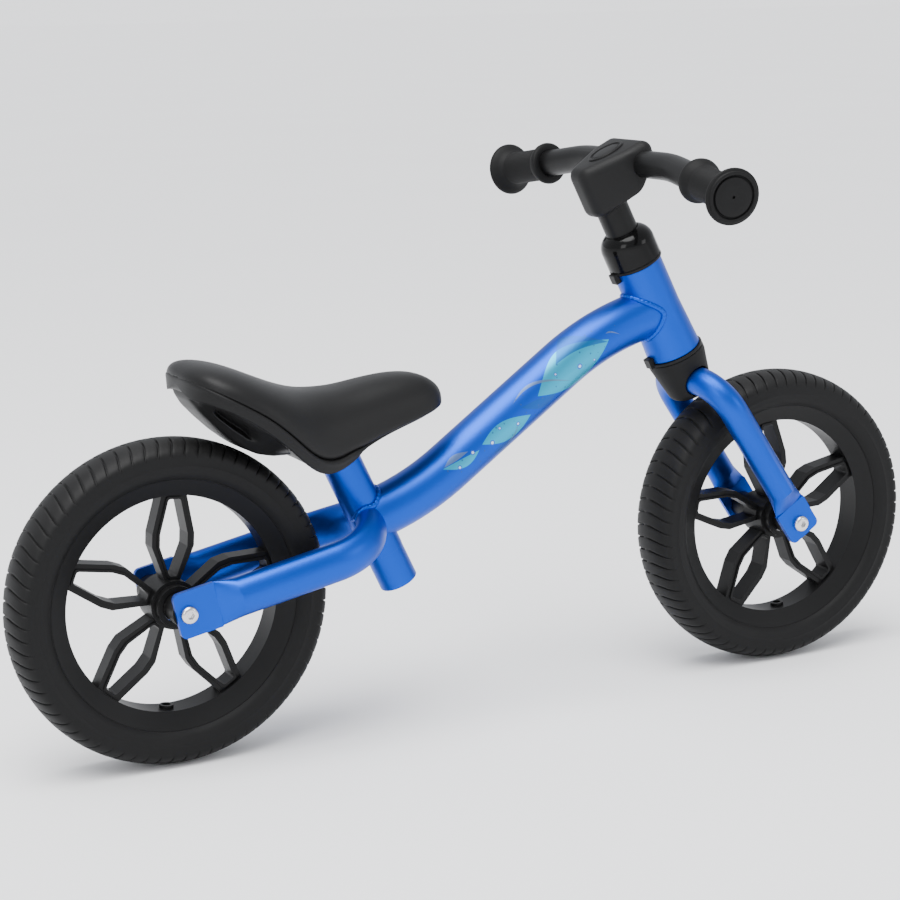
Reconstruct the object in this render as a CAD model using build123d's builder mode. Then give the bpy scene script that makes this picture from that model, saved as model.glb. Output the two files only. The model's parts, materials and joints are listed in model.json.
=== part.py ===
"""Child's balance bike: steel frame and fork, two plastic wheels with foam tyres, saddle and handlebar.

Frame: +X forward, +Y to the rider's left, +Z up, origin on the ground midway between the axles.
"""
import os
from math import cos, radians, sin

from build123d import *

# ---------------------------------------------------------------- driving sizes (mm, degrees)
WHEELBASE = 554.0
WHEEL_R = 127.0
STEER_ANGLE, FORK_OVER_WHEEL, FORK_RAKE = 64.2, 53.9, 22.1
SEAT_ANGLE, SEAT_TUBE_GAP, SEAT_FOOT_DROP = 65.3, 67.6, 10.7
SADDLE_OVER_WHEEL = 3.0

# clearances
RUN_FIT = 0.05
SLIDE_FIT = 0.08
AIR_GAP = 0.4

# frame tubes
HEAD_LENGTH, HEAD_R, HEAD_FLARE_R, HEAD_FLARE_H, HEAD_WALL = 84.0, 21.2, 23.2, 42.0, 2.0
SEAT_R, SEAT_WALL, SEAT_TOP_DROP = 15.9, 2.2, 16.9
STUB_LENGTH, STUB_STEP = 30.0, 0.25
MAIN_R, MAIN_WALL, MAIN_BEND_R = 20.5, 1.8, 220.0
STAY_HALF_HIGH, STAY_HALF_WIDE, STAY_WALL, STAY_BEND_R, STAY_END_RISE = 15.4, 11.5, 1.8, 50.0, 12.0
STAY_CORNER_UP, STAY_CORNER_BACK = 45.2, 14.0
LEG_R, LEG_WALL, LEG_BEND_R, LEG_AHEAD = 12.0, 1.8, 30.0, 2.6
TUBE_OUTSET = 1.5

# flattened tube ends and the axles they hold
PLATE_INNER_Y, PLATE_T, PLATE_CORNER_R, CREASE_LENGTH = 42.0, 4.0, 5.0, 17.0
STAY_PLATE_H, STAY_PLATE_BACK, STAY_PLATE_FRONT = 36.0, 9.5, 24.0
LEG_PLATE_H, LEG_PLATE_BACK, LEG_PLATE_FRONT = 31.0, 12.0, 19.0
AXLE_R, AXLE_THREAD_DEPTH = 6.0, 22.0
BOLT_R, BOLT_LENGTH, BOLT_HOLE_GAP, THREAD_GAP = 4.0, 20.0, 0.2, 0.02
BOLT_HEAD_R, BOLT_HEAD_H, HEX_FLATS, HEX_DEPTH = 7.0, 4.4, 5.0, 2.6

# steering
STEERER_R, STEERER_WALL, STEERER_ABOVE_HEAD, STEERER_BELOW_CROWN = 15.2, 1.5, 24.0, 10.0
CROWN_DROP = 29.0
CUP_FLANGE_T, CUP_DEPTH, CUP_WALL, CUP_LIP = 2.6, 13.0, 1.4, 1.6
CUP_TAB_W, CUP_TAB_T, CUP_TAB_H = 9.0, 3.4, 6.0
BEARING_T = 6.0
STEER_LIMIT, STOP_LUG_ANGLE = 45.0, 14.0
STOP_LUG_INNER_R, STOP_LUG_OUTER_R, STOP_LUG_H = 18.6, 20.8, 1.4
BOOT_LOW_R, BOOT_LENGTH, BOOT_WALL, BOOT_ROUND_R = 18.0, 40.0, 2.2, 9.0
DOME_LENGTH, DOME_ROUND_R, DOME_WALL = 29.0, 14.0, 2.4
NUT_R, NUT_H = 19.4, 9.0
STEM_WALL, STEM_BOTTOM, STEM_TOP = 2.2, 34.0, 160.0
WEDGE_H, STEM_BOLT_R = 16.0, 4.0

# handlebar
BAR_AHEAD, BAR_UP, BAR_R, BAR_WALL, BAR_BEND_R = 28.7, 162.7, 11.1, 1.8, 140.0
BAR_FLAT_HALF, BAR_END_Y, BAR_BACK, BAR_FALL = 68.0, 175.0, 14.1, 15.1
CLAMP_R, CLAMP_HALF_WIDTH = 15.0, 17.0
GRIP_LENGTH, GRIP_R, GRIP_INNER_R, GRIP_OUTER_R, GRIP_FLANGE_T, GRIP_END_T = 60.0, 13.8, 17.8, 22.0, 5.0, 3.0
PAD_BACK, PAD_FULL_WIDTH, PAD_FRONT, PAD_FRONT_RISE = -20.5, 19.125, 42.5, 26.0
PAD_TOP, PAD_BOTTOM, PAD_CUT, PAD_PAST = 180.0, 135.0, 9.0, 5.0
PAD_BACK_HALF, PAD_FRONT_HALF, PAD_CORNER_R, PAD_EDGE_R = 12.0, 30.0, 9.0, 5.0
BADGE_LONG, BADGE_WIDE, BADGE_T = 30.0, 22.0, 1.2

# wheels
TYRE_HALF, TYRE_SHOULDER_R = 25.0, WHEEL_R - 11.0
RIM_SEAT_R, RIM_FLANGE_R, RIM_HOLE_R = WHEEL_R - 33.0, WHEEL_R - 29.0, WHEEL_R - 42.5
RIM_FLANGE_HALF, RIM_SEAT_HALF, RIM_HOLE_HALF = 19.5, 17.0, 11.5
HUB_R, HUB_HALF, HUB_NOSE_R, HUB_NOSE_HALF = 19.0, 15.0, 16.2, 22.0
BEARING_R, BEARING_W, BEARING_Y = 13.0, 8.0, 12.0
SPACER_R, CAP_R = 11.4, 15.0
SPOKE_COUNT, SPOKE_HALF_DEPTH, SPOKE_LIP_HALF_DEPTH, SPOKE_WIDTH, SPOKE_LIP = 5, 8.0, 9.4, 5.8, 1.8
PETAL_NEAR_R, PETAL_WAIST_R, PETAL_HIP_R, PETAL_FAR_R = HUB_R + 2.0, 44.0, 54.0, RIM_HOLE_R - 3.5
PETAL_NEAR_HALF, PETAL_HALF, PETAL_FAR_HALF, PETAL_ROUND_R = 2.8, 11.0, 4.8, 2.4
REAR_PETAL_ANGLE, FRONT_PETAL_ANGLE = 86.0, 96.0
VALVE_BOSS_R, VALVE_HOLE_R, VALVE_BOSS_H = 5.6, 3.4, 2.6

# saddle
POST_WALL, POST_BOTTOM = 2.0, 26.0
POST_PLATE_X, POST_PLATE_Y, POST_PLATE_T = 58.0, 40.0, 3.0
POST_HOLE_INSET = 14.0
SADDLE_SCREW_R, SADDLE_SCREW_HEAD_R, SADDLE_SCREW_HEAD_H, SADDLE_SCREW_LENGTH = 2.5, 4.6, 2.2, 12.0
SEAT_CLAMP_R, SEAT_CLAMP_H, SEAT_CLAMP_EAR, CLAMP_BOLT_R = 19.4, 13.0, 9.0, 2.5
CLAMP_HEAD_R, CLAMP_HEAD_H, CLAMP_HEX, CLAMP_HEX_DEPTH = 4.6, 3.0, 4.0, 2.0

os.makedirs("parts", exist_ok=True)


def publish(builder, name):
    """Label a finished piece and write its STEP file."""
    builder.part.label = name
    export_step(builder.part, "parts/" + name + ".step")


# ---------------------------------------------------------------- planes and axes
REAR_X, FRONT_X = -WHEELBASE / 2, WHEELBASE / 2
REAR_AXLE, FRONT_AXLE = Vector(REAR_X, 0, WHEEL_R), Vector(FRONT_X, 0, WHEEL_R)
MIDDLE = Plane(origin=(0, 0, 0), x_dir=(1, 0, 0), z_dir=(0, -1, 0))

STEER_S, STEER_C = sin(radians(STEER_ANGLE)), cos(radians(STEER_ANGLE))
STEER_DIR, STEER_AHEAD = Vector(-STEER_C, 0, STEER_S), Vector(STEER_S, 0, STEER_C)
HEAD_FOOT = FRONT_AXLE + STEER_DIR * (WHEEL_R + FORK_OVER_WHEEL) - STEER_AHEAD * FORK_RAKE
STEER_AXIS = Axis(HEAD_FOOT, STEER_DIR)
STEER_SIDE = Plane(origin=HEAD_FOOT, x_dir=STEER_AHEAD, z_dir=(0, -1, 0))
STEER_END = Plane(origin=HEAD_FOOT, x_dir=STEER_AHEAD, z_dir=STEER_DIR)

SEAT_S, SEAT_C = sin(radians(SEAT_ANGLE)), cos(radians(SEAT_ANGLE))
SEAT_FOOT = REAR_AXLE + Vector(WHEEL_R + SEAT_TUBE_GAP, 0, -SEAT_FOOT_DROP)
SEAT_DIR, SEAT_AHEAD = Vector(-SEAT_C, 0, SEAT_S), Vector(SEAT_S, 0, SEAT_C)
SEAT_END = Plane(origin=SEAT_FOOT, x_dir=SEAT_AHEAD, z_dir=SEAT_DIR)
SADDLE_CEILING_Z = 2 * WHEEL_R + SADDLE_OVER_WHEEL
POST_TOP = (SADDLE_CEILING_Z - SEAT_FOOT.Z) / SEAT_S
POST_HEAD = SEAT_FOOT + SEAT_DIR * POST_TOP
STEERER_TOP = HEAD_LENGTH + STEERER_ABOVE_HEAD
SEAT_LENGTH = POST_TOP - SEAT_TOP_DROP
CUT_PAST = 30.0


def rod(plane, low, high, outer, inner=0.0):
    """Round bar, or a tube where an inner radius is given, along a plane's normal."""
    with BuildPart() as made:
        with BuildSketch(plane.offset(low)):
            Circle(outer)
            if inner:
                Circle(inner, mode=Mode.SUBTRACT)
        extrude(amount=high - low)
    return made.part


def turned(plane, axis, points):
    """Solid turned about an axis from its half outline."""
    with BuildPart() as made:
        with BuildSketch(plane):
            with BuildLine():
                Polyline(*points, close=True)
            make_face()
        revolve(axis=axis)
    return made.part


def biggest(builder):
    """The largest solid of a trimmed piece, without its offcuts."""
    return builder.part.solids().sort_by(SortBy.VOLUME)[-1]


# ---------------------------------------------------------------- frame tubes
HEAD_BORE = HEAD_R - HEAD_WALL
with BuildPart() as head_envelope:
    head_outline = [(0, 0), (HEAD_FLARE_R, 0), (HEAD_R, HEAD_FLARE_H),
                    (HEAD_R, HEAD_LENGTH), (0, HEAD_LENGTH)]
    add(turned(STEER_SIDE, STEER_AXIS, head_outline))
with BuildPart() as head_tube:
    add(head_envelope.part)
    add(rod(STEER_END, 0, HEAD_LENGTH, HEAD_BORE), mode=Mode.SUBTRACT)
publish(head_tube, "head_tube")

with BuildPart() as seat_tube:
    add(rod(SEAT_END, STUB_LENGTH, SEAT_LENGTH, SEAT_R, SEAT_R - SEAT_WALL))
    add(rod(SEAT_END, 0, STUB_LENGTH, SEAT_R - STUB_STEP, SEAT_R - SEAT_WALL))
publish(seat_tube, "seat_tube")

MAIN_PATH = [
    (SEAT_FOOT.X - 25.6, SEAT_FOOT.Z + 54.7), (SEAT_FOOT.X + 20.4, SEAT_FOOT.Z + 69.6),
    (HEAD_FOOT.X - 80.4, HEAD_FOOT.Z + 17.3), (HEAD_FOOT.X - 18.4, HEAD_FOOT.Z + 36.3),
]
with BuildPart() as main_blank:
    with BuildLine(MIDDLE) as main_path:
        FilletPolyline(*MAIN_PATH, radius=MAIN_BEND_R)
    with BuildSketch(Plane(origin=main_path.line @ 0, x_dir=(0, 1, 0), z_dir=main_path.line % 0)):
        Circle(MAIN_R)
        Circle(MAIN_R - MAIN_WALL, mode=Mode.SUBTRACT)
    sweep()
    add(head_envelope.part, mode=Mode.SUBTRACT)
    add(rod(SEAT_END, -CUT_PAST, SEAT_LENGTH + CUT_PAST, SEAT_R), mode=Mode.SUBTRACT)
with BuildPart() as main_tube:
    add(biggest(main_blank))
publish(main_tube, "main_tube")

with BuildPart() as main_envelope:
    add(main_path)
    with BuildSketch(Plane(origin=main_path.line @ 0, x_dir=(0, 1, 0), z_dir=main_path.line % 0)):
        Circle(MAIN_R)
    sweep()


def flattened_tube(axle, corner_point, end, side, tube_size, bend_r, plate_size):
    """Tube from a flattened axle plate towards `corner_point`, then bent inwards to `end` in mid-bike.

    tube_size is (half height, half width, wall), plate_size is (height, back, front) about the axle,
    and side is +1 for the left tube or -1 for the right.
    """
    half_high, half_wide, wall = tube_size
    height, back, front = plate_size
    plate_y = side * (PLATE_INNER_Y + PLATE_T / 2)
    up = (corner_point - axle).normalized()
    across = up.cross(Vector(0, 1, 0))
    plate_face = Plane(origin=axle + Vector(0, side * PLATE_INNER_Y, 0), x_dir=up, z_dir=(0, side, 0))
    crease = Plane(origin=axle + up * front + Vector(0, plate_y, 0), x_dir=across, z_dir=up)
    corner = corner_point + Vector(0, plate_y + side * TUBE_OUTSET, 0)
    start = corner - up * ((corner_point - axle).length - front - CREASE_LENGTH)
    tube_mouth = Plane(origin=start, x_dir=across, z_dir=up)
    with BuildPart() as made:
        with BuildSketch(plate_face) as plate:
            with Locations(((front - back) / 2, 0)):
                Rectangle(front + back, height)
            fillet(plate.vertices().group_by(Axis.X)[0], PLATE_CORNER_R)
            Circle(BOLT_R + BOLT_HOLE_GAP, mode=Mode.SUBTRACT)
        extrude(amount=PLATE_T)
        with BuildSketch(crease):
            Ellipse(height / 2, PLATE_T / 2)
        with BuildSketch(tube_mouth):
            Ellipse(half_high, half_wide)
        loft()
        with BuildLine():
            FilletPolyline(start, corner, end, radius=bend_r)
        with BuildSketch(tube_mouth):
            Ellipse(half_high, half_wide)
            Ellipse(half_high - wall, half_wide - wall, mode=Mode.SUBTRACT)
        sweep()
    return made.part


def on_seat_axis(height):
    """Point on the seat tube's axis at a height above the ground."""
    return SEAT_FOOT + SEAT_DIR * ((height - SEAT_FOOT.Z) / SEAT_S)


STAY_CORNER_Z = SEAT_FOOT.Z + STAY_CORNER_UP
STAY_LINE_END = on_seat_axis(STAY_CORNER_Z)
STAY_CORNER = STAY_LINE_END - (STAY_LINE_END - REAR_AXLE).normalized() * STAY_CORNER_BACK
for side, name in ((1, "chain_stay_left"), (-1, "chain_stay_right")):
    with BuildPart() as stay_blank:
        stay_size = (STAY_HALF_HIGH, STAY_HALF_WIDE, STAY_WALL)
        stay_plate = (STAY_PLATE_H, STAY_PLATE_BACK, STAY_PLATE_FRONT)
        stay_end = on_seat_axis(STAY_CORNER_Z + STAY_END_RISE)
        add(flattened_tube(REAR_AXLE, STAY_CORNER, stay_end, side, stay_size, STAY_BEND_R, stay_plate))
        add(rod(SEAT_END, -CUT_PAST, SEAT_LENGTH + CUT_PAST, SEAT_R), mode=Mode.SUBTRACT)
        add(main_envelope.part, mode=Mode.SUBTRACT)
    with BuildPart() as stay:
        add(biggest(stay_blank))
    publish(stay, name)

# ---------------------------------------------------------------- fork
CROWN = HEAD_FOOT - STEER_DIR * CROWN_DROP
LEG_CORNER = CROWN + STEER_AHEAD * LEG_AHEAD
for side, name in ((1, "fork_leg_left"), (-1, "fork_leg_right")):
    with BuildPart() as leg_blank:
        leg_size = (LEG_R, LEG_R, LEG_WALL)
        leg_plate = (LEG_PLATE_H, LEG_PLATE_BACK, LEG_PLATE_FRONT)
        add(flattened_tube(FRONT_AXLE, LEG_CORNER, CROWN, side, leg_size, LEG_BEND_R, leg_plate))
        add(rod(STEER_END, -CROWN_DROP - 40, 0, STEERER_R), mode=Mode.SUBTRACT)
    with BuildPart() as leg:
        add(biggest(leg_blank))
    publish(leg, name)

STEERER_FOOT = -CROWN_DROP - STEERER_BELOW_CROWN
with BuildPart() as steerer:
    add(rod(STEER_END, STEERER_FOOT, STEERER_TOP, STEERER_R, STEERER_R - STEERER_WALL))
publish(steerer, "steerer_tube")


# ---------------------------------------------------------------- headset and steering stop
CUP_BORE = HEAD_BORE - CUP_WALL
LUG_SWING = STEER_LIMIT + STOP_LUG_ANGLE / 2 + 1


def cup(face, inwards, tube_r):
    """Plastic cup pressed into the head tube's end at height `face`, with a tab over the tube's back.

    inwards is +1 where the tube lies above the face and -1 where it lies below.
    """
    flange_r = tube_r + CUP_LIP
    outline = [
        (STEERER_R + AIR_GAP, face - inwards * CUP_FLANGE_T), (flange_r, face - inwards * CUP_FLANGE_T),
        (flange_r, face), (HEAD_BORE, face), (HEAD_BORE, face + inwards * CUP_DEPTH),
        (CUP_BORE, face + inwards * CUP_DEPTH), (CUP_BORE, face + inwards),
        (STEERER_R + AIR_GAP, face + inwards),
    ]
    tab_low, tab_high = sorted((face - inwards * CUP_FLANGE_T, face + inwards * CUP_TAB_H))
    with BuildPart() as made:
        add(turned(STEER_SIDE, STEER_AXIS, outline))
        with BuildSketch(STEER_END.offset(tab_low)):
            with Locations((-tube_r - CUP_TAB_T / 2, 0)):
                Rectangle(CUP_TAB_T + 2, CUP_TAB_W)
        extrude(amount=tab_high - tab_low)
        add(head_tube.part, mode=Mode.SUBTRACT)
    return made.part


with BuildPart() as lower_cup:
    add(cup(0, 1, HEAD_FLARE_R))
    with BuildSketch(STEER_END.offset(-CUP_FLANGE_T)):
        Circle(STOP_LUG_OUTER_R + AIR_GAP)
        Circle(STOP_LUG_INNER_R - AIR_GAP, mode=Mode.SUBTRACT)
        with BuildLine():
            Line((0, 0), (50 * cos(radians(LUG_SWING)), 50 * sin(radians(LUG_SWING))))
            Line((50 * cos(radians(LUG_SWING)), 50 * sin(radians(LUG_SWING))), (80, 0))
            Line((80, 0), (50 * cos(radians(LUG_SWING)), -50 * sin(radians(LUG_SWING))))
            Line((50 * cos(radians(LUG_SWING)), -50 * sin(radians(LUG_SWING))), (0, 0))
        make_face(mode=Mode.INTERSECT)
    extrude(amount=STOP_LUG_H + AIR_GAP, mode=Mode.SUBTRACT)
publish(lower_cup, "lower_cup")

with BuildPart() as upper_cup:
    add(cup(HEAD_LENGTH, -1, HEAD_R))
publish(upper_cup, "upper_cup")

for name, low in (("lower_bearing", 1.0), ("upper_bearing", HEAD_LENGTH - 1.0 - BEARING_T)):
    with BuildPart() as headset_bearing:
        add(rod(STEER_END, low, low + BEARING_T, CUP_BORE, STEERER_R + RUN_FIT))
    publish(headset_bearing, name)

CROWN_RACE_TOP = -CUP_FLANGE_T - AIR_GAP
with BuildPart() as crown_race:
    add(rod(STEER_END, CROWN_RACE_TOP - 3, CROWN_RACE_TOP, STOP_LUG_OUTER_R, STEERER_R))
    with BuildSketch(STEER_END.offset(CROWN_RACE_TOP)):
        with Locations(((STOP_LUG_INNER_R + STOP_LUG_OUTER_R) / 2, 0)):
            Rectangle(STOP_LUG_OUTER_R - STOP_LUG_INNER_R, 4)
    extrude(amount=STOP_LUG_H + AIR_GAP / 2)
publish(crown_race, "crown_race")

with BuildPart() as headset_nut:
    with BuildSketch(STEER_END.offset(HEAD_LENGTH + CUP_FLANGE_T + AIR_GAP)):
        RegularPolygon(NUT_R, 6, major_radius=True)
        Circle(STEERER_R, mode=Mode.SUBTRACT)
    extrude(amount=NUT_H)
publish(headset_nut, "headset_nut")

BOOT_TOP, BOOT_TOP_R, BOOT_BAND = -CUP_FLANGE_T - AIR_GAP, HEAD_FLARE_R + CUP_LIP, 5.0
BOOT_FOOT = BOOT_TOP - BOOT_LENGTH
with BuildPart() as boot_shell:
    with BuildSketch(STEER_SIDE):
        with BuildLine():
            Polyline((0, BOOT_TOP), (BOOT_TOP_R, BOOT_TOP), (BOOT_TOP_R, BOOT_TOP - BOOT_BAND),
                     (BOOT_LOW_R, BOOT_FOOT), (0, BOOT_FOOT), close=True)
        make_face()
    revolve(axis=STEER_AXIS)
    fillet(boot_shell.edges().group_by(Axis(HEAD_FOOT, STEER_DIR))[0], BOOT_ROUND_R)
    with BuildSketch(STEER_SIDE):
        with BuildLine():
            Polyline((0, BOOT_TOP), (BOOT_TOP_R - BOOT_WALL, BOOT_TOP),
                     (BOOT_TOP_R - BOOT_WALL, BOOT_TOP - BOOT_BAND),
                     (BOOT_LOW_R - BOOT_WALL, BOOT_FOOT + BOOT_ROUND_R),
                     (0, BOOT_FOOT + BOOT_WALL), close=True)
        make_face()
    revolve(axis=STEER_AXIS, mode=Mode.SUBTRACT)
    with BuildSketch(Plane(origin=CROWN + STEER_AHEAD * LEG_AHEAD / 2, x_dir=STEER_DIR, z_dir=(0, -1, 0))):
        Circle(LEG_R + 1.4)
    extrude(amount=60, both=True, mode=Mode.SUBTRACT)
    add(rod(STEER_END, STEERER_FOOT - AIR_GAP, 0, STEERER_R + AIR_GAP), mode=Mode.SUBTRACT)
with BuildPart() as crown_boot:
    add(biggest(boot_shell))
publish(crown_boot, "crown_boot")

STEM_R = STEERER_R - STEERER_WALL - SLIDE_FIT
DOME_FOOT = HEAD_LENGTH + CUP_FLANGE_T + AIR_GAP
DOME_TOP, DOME_R = DOME_FOOT + DOME_LENGTH, HEAD_R + CUP_LIP
with BuildPart() as dome_cover:
    add(rod(STEER_END, DOME_FOOT, DOME_TOP, DOME_R))
    fillet(dome_cover.edges().group_by(STEER_AXIS)[-1], DOME_ROUND_R)
    add(rod(STEER_END, DOME_FOOT, DOME_TOP - DOME_ROUND_R, DOME_R - DOME_WALL), mode=Mode.SUBTRACT)
    add(rod(STEER_END, DOME_FOOT, DOME_TOP - DOME_WALL, STEERER_R + AIR_GAP), mode=Mode.SUBTRACT)
    add(rod(STEER_END, DOME_FOOT, DOME_TOP + 5, STEM_R + AIR_GAP), mode=Mode.SUBTRACT)
publish(dome_cover, "headset_dome")

# ---------------------------------------------------------------- stem and handlebar
with BuildPart() as stem_tube:
    add(rod(STEER_END, STEM_BOTTOM, STEM_TOP, STEM_R, STEM_R - STEM_WALL))
publish(stem_tube, "stem_tube")

with BuildPart() as stem_wedge:
    add(rod(STEER_END, STEM_BOTTOM - WEDGE_H, STEM_BOTTOM, STEM_R, STEM_BOLT_R + THREAD_GAP))
    chamfer(stem_wedge.edges().group_by(STEER_AXIS)[0], 1.0)
publish(stem_wedge, "stem_wedge")

BAR = HEAD_FOOT + STEER_AHEAD * BAR_AHEAD + STEER_DIR * BAR_UP
BAR_LINE = Plane(origin=BAR, x_dir=(1, 0, 0), z_dir=(0, 1, 0))
STEM_CAP = STEM_TOP + 8
with BuildPart() as stem_head:
    with BuildSketch(STEER_SIDE):
        with Locations((BAR_AHEAD, BAR_UP)):
            Circle(CLAMP_R)
        with BuildLine():
            Polyline((0, STEM_TOP - 14), (BAR_AHEAD, BAR_UP - CLAMP_R), (BAR_AHEAD, STEM_CAP), (0, STEM_CAP),
                     close=True)
        make_face()
    extrude(amount=CLAMP_HALF_WIDTH - 3, both=True)
    add(rod(STEER_END, STEM_TOP - 14, STEM_CAP, STEM_R + 2.6))
    add(rod(STEER_END, STEM_TOP - 20, STEM_TOP, STEM_R), mode=Mode.SUBTRACT)
    add(rod(STEER_END, STEM_TOP - 1, STEM_CAP + 5, STEM_BOLT_R + BOLT_HOLE_GAP), mode=Mode.SUBTRACT)
    add(rod(BAR_LINE, -BAR_FLAT_HALF, BAR_FLAT_HALF, BAR_R), mode=Mode.SUBTRACT)
publish(stem_head, "stem_head")


def button_bolt(plane, length, radius, head_r, head_h, flats, socket):
    """Button-head bolt; its shank runs down the plane's normal and its head stands above the plane."""
    with BuildPart() as made:
        with BuildSketch(plane):
            Circle(head_r)
        extrude(amount=head_h)
        fillet(made.edges().group_by(Axis(plane.origin, plane.z_dir))[-1], head_h * 0.7)
        with BuildSketch(plane):
            Circle(radius)
        extrude(amount=-length)
        with BuildSketch(plane.offset(head_h - socket)):
            RegularPolygon(flats / 2, 6, major_radius=False)
        extrude(amount=socket + 1, mode=Mode.SUBTRACT)
    return made.part


with BuildPart() as stem_bolt:
    stem_bolt_length = STEM_CAP - STEM_BOTTOM + WEDGE_H - 2
    add(button_bolt(STEER_END.offset(STEM_CAP), stem_bolt_length, STEM_BOLT_R, 6.5, 5.0, 6.0, 3.0))
publish(stem_bolt, "stem_bolt")

BAR_RUN = BAR_END_Y - BAR_FLAT_HALF
GRIP_OUT = Vector(-BAR_BACK, BAR_RUN, -BAR_FALL).normalized()
with BuildPart() as handlebar:
    with BuildLine() as bar_path:
        FilletPolyline(
            BAR + Vector(-BAR_BACK, -BAR_END_Y, -BAR_FALL), BAR + Vector(0, -BAR_FLAT_HALF, 0),
            BAR + Vector(0, BAR_FLAT_HALF, 0), BAR + Vector(-BAR_BACK, BAR_END_Y, -BAR_FALL),
            radius=BAR_BEND_R)
    with BuildSketch(Plane(origin=bar_path.line @ 0, z_dir=bar_path.line % 0)):
        Circle(BAR_R)
        Circle(BAR_R - BAR_WALL, mode=Mode.SUBTRACT)
    sweep()
publish(handlebar, "handlebar")

GRIP_OUTLINE = [
    (BAR_R, 0), (BAR_R, -GRIP_LENGTH), (GRIP_INNER_R, -GRIP_LENGTH), (GRIP_INNER_R, -GRIP_LENGTH + 3),
    (GRIP_R, -GRIP_LENGTH + 3 + GRIP_FLANGE_T), (GRIP_R, -GRIP_FLANGE_T - 3), (GRIP_OUTER_R, -3),
    (GRIP_OUTER_R, GRIP_END_T), (0, GRIP_END_T), (0, 0),
]
for side, name in ((1, "grip_left"), (-1, "grip_right")):
    grip_end = BAR + Vector(-BAR_BACK, side * BAR_END_Y, -BAR_FALL)
    grip_out = Vector(GRIP_OUT.X, side * GRIP_OUT.Y, GRIP_OUT.Z)
    grip_plane = Plane(origin=grip_end, x_dir=grip_out.cross(Vector(0, 0, 1)), z_dir=grip_out)
    outline_plane = Plane(origin=grip_end, x_dir=grip_plane.x_dir, z_dir=-grip_plane.y_dir)
    with BuildPart() as grip:
        add(turned(outline_plane, Axis(grip_end, grip_out), GRIP_OUTLINE))
    publish(grip, name)


CAVITY_HALF = STEM_R + 3.0
with BuildPart() as stem_pad:
    with BuildSketch(STEER_END.offset(PAD_BOTTOM)) as pad_plan:
        with BuildLine():
            Polyline((PAD_BACK, -PAD_BACK_HALF), (PAD_FULL_WIDTH, -PAD_FRONT_HALF),
                     (PAD_FRONT, -PAD_FRONT_HALF), (PAD_FRONT, PAD_FRONT_HALF),
                     (PAD_FULL_WIDTH, PAD_FRONT_HALF), (PAD_BACK, PAD_BACK_HALF), close=True)
        make_face()
        fillet(pad_plan.vertices(), PAD_CORNER_R)
    extrude(amount=PAD_TOP - PAD_BOTTOM)
    with BuildSketch(STEER_SIDE):
        with BuildLine():
            Polyline((STEM_R, PAD_BOTTOM), (PAD_FRONT + PAD_PAST, PAD_BOTTOM + PAD_FRONT_RISE),
                     (PAD_FRONT + PAD_PAST, PAD_BOTTOM - PAD_CUT), (STEM_R, PAD_BOTTOM - PAD_CUT),
                     close=True)
        make_face()
    extrude(amount=PAD_FRONT_HALF + 5, both=True, mode=Mode.SUBTRACT)
    fillet(stem_pad.edges().group_by(STEER_AXIS)[-1], PAD_EDGE_R)
    with BuildSketch(STEER_SIDE):
        with Locations((BAR_AHEAD, BAR_UP)):
            Circle(CLAMP_R + AIR_GAP)
        with BuildLine():
            Polyline((-CAVITY_HALF, 0), (CAVITY_HALF, 0), (CAVITY_HALF, STEM_TOP - 16),
                     (BAR_AHEAD, BAR_UP - CLAMP_R - 2), (BAR_AHEAD, STEM_CAP + 6),
                     (-CAVITY_HALF, STEM_CAP + 6), close=True)
        make_face()
    extrude(amount=CLAMP_HALF_WIDTH, both=True, mode=Mode.SUBTRACT)
    add(rod(BAR_LINE, -BAR_FLAT_HALF, BAR_FLAT_HALF, BAR_R + AIR_GAP), mode=Mode.SUBTRACT)
publish(stem_pad, "stem_pad")

with BuildPart() as pad_badge:
    with BuildSketch(STEER_END.offset(PAD_TOP)):
        with Locations(((PAD_BACK + PAD_FRONT) / 2 + 4, 0)):
            Ellipse(BADGE_LONG / 2, BADGE_WIDE / 2)
    extrude(amount=BADGE_T)
publish(pad_badge, "pad_badge")

# ---------------------------------------------------------------- wheels
NOSE_END = BEARING_Y + BEARING_W + 2


def petal(grow):
    """Outline of one spoke loop's opening along +X, each side moved out by `grow`."""
    half = [
        (PETAL_NEAR_R - grow, PETAL_NEAR_HALF + grow * 0.4),
        (PETAL_WAIST_R, PETAL_HALF + grow),
        (PETAL_HIP_R, PETAL_HALF + grow),
        (PETAL_FAR_R + grow, PETAL_FAR_HALF + grow * 0.8),
    ]
    with BuildSketch() as made:
        with BuildLine():
            Polyline(*half, *((x, -y) for x, y in reversed(half)), close=True)
        make_face()
        fillet(made.vertices(), PETAL_ROUND_R)
    return made.sketch


PETAL_HOLE, PETAL_LIP, PETAL_LOOP = petal(0), petal(SPOKE_LIP), petal(SPOKE_WIDTH)


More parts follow.
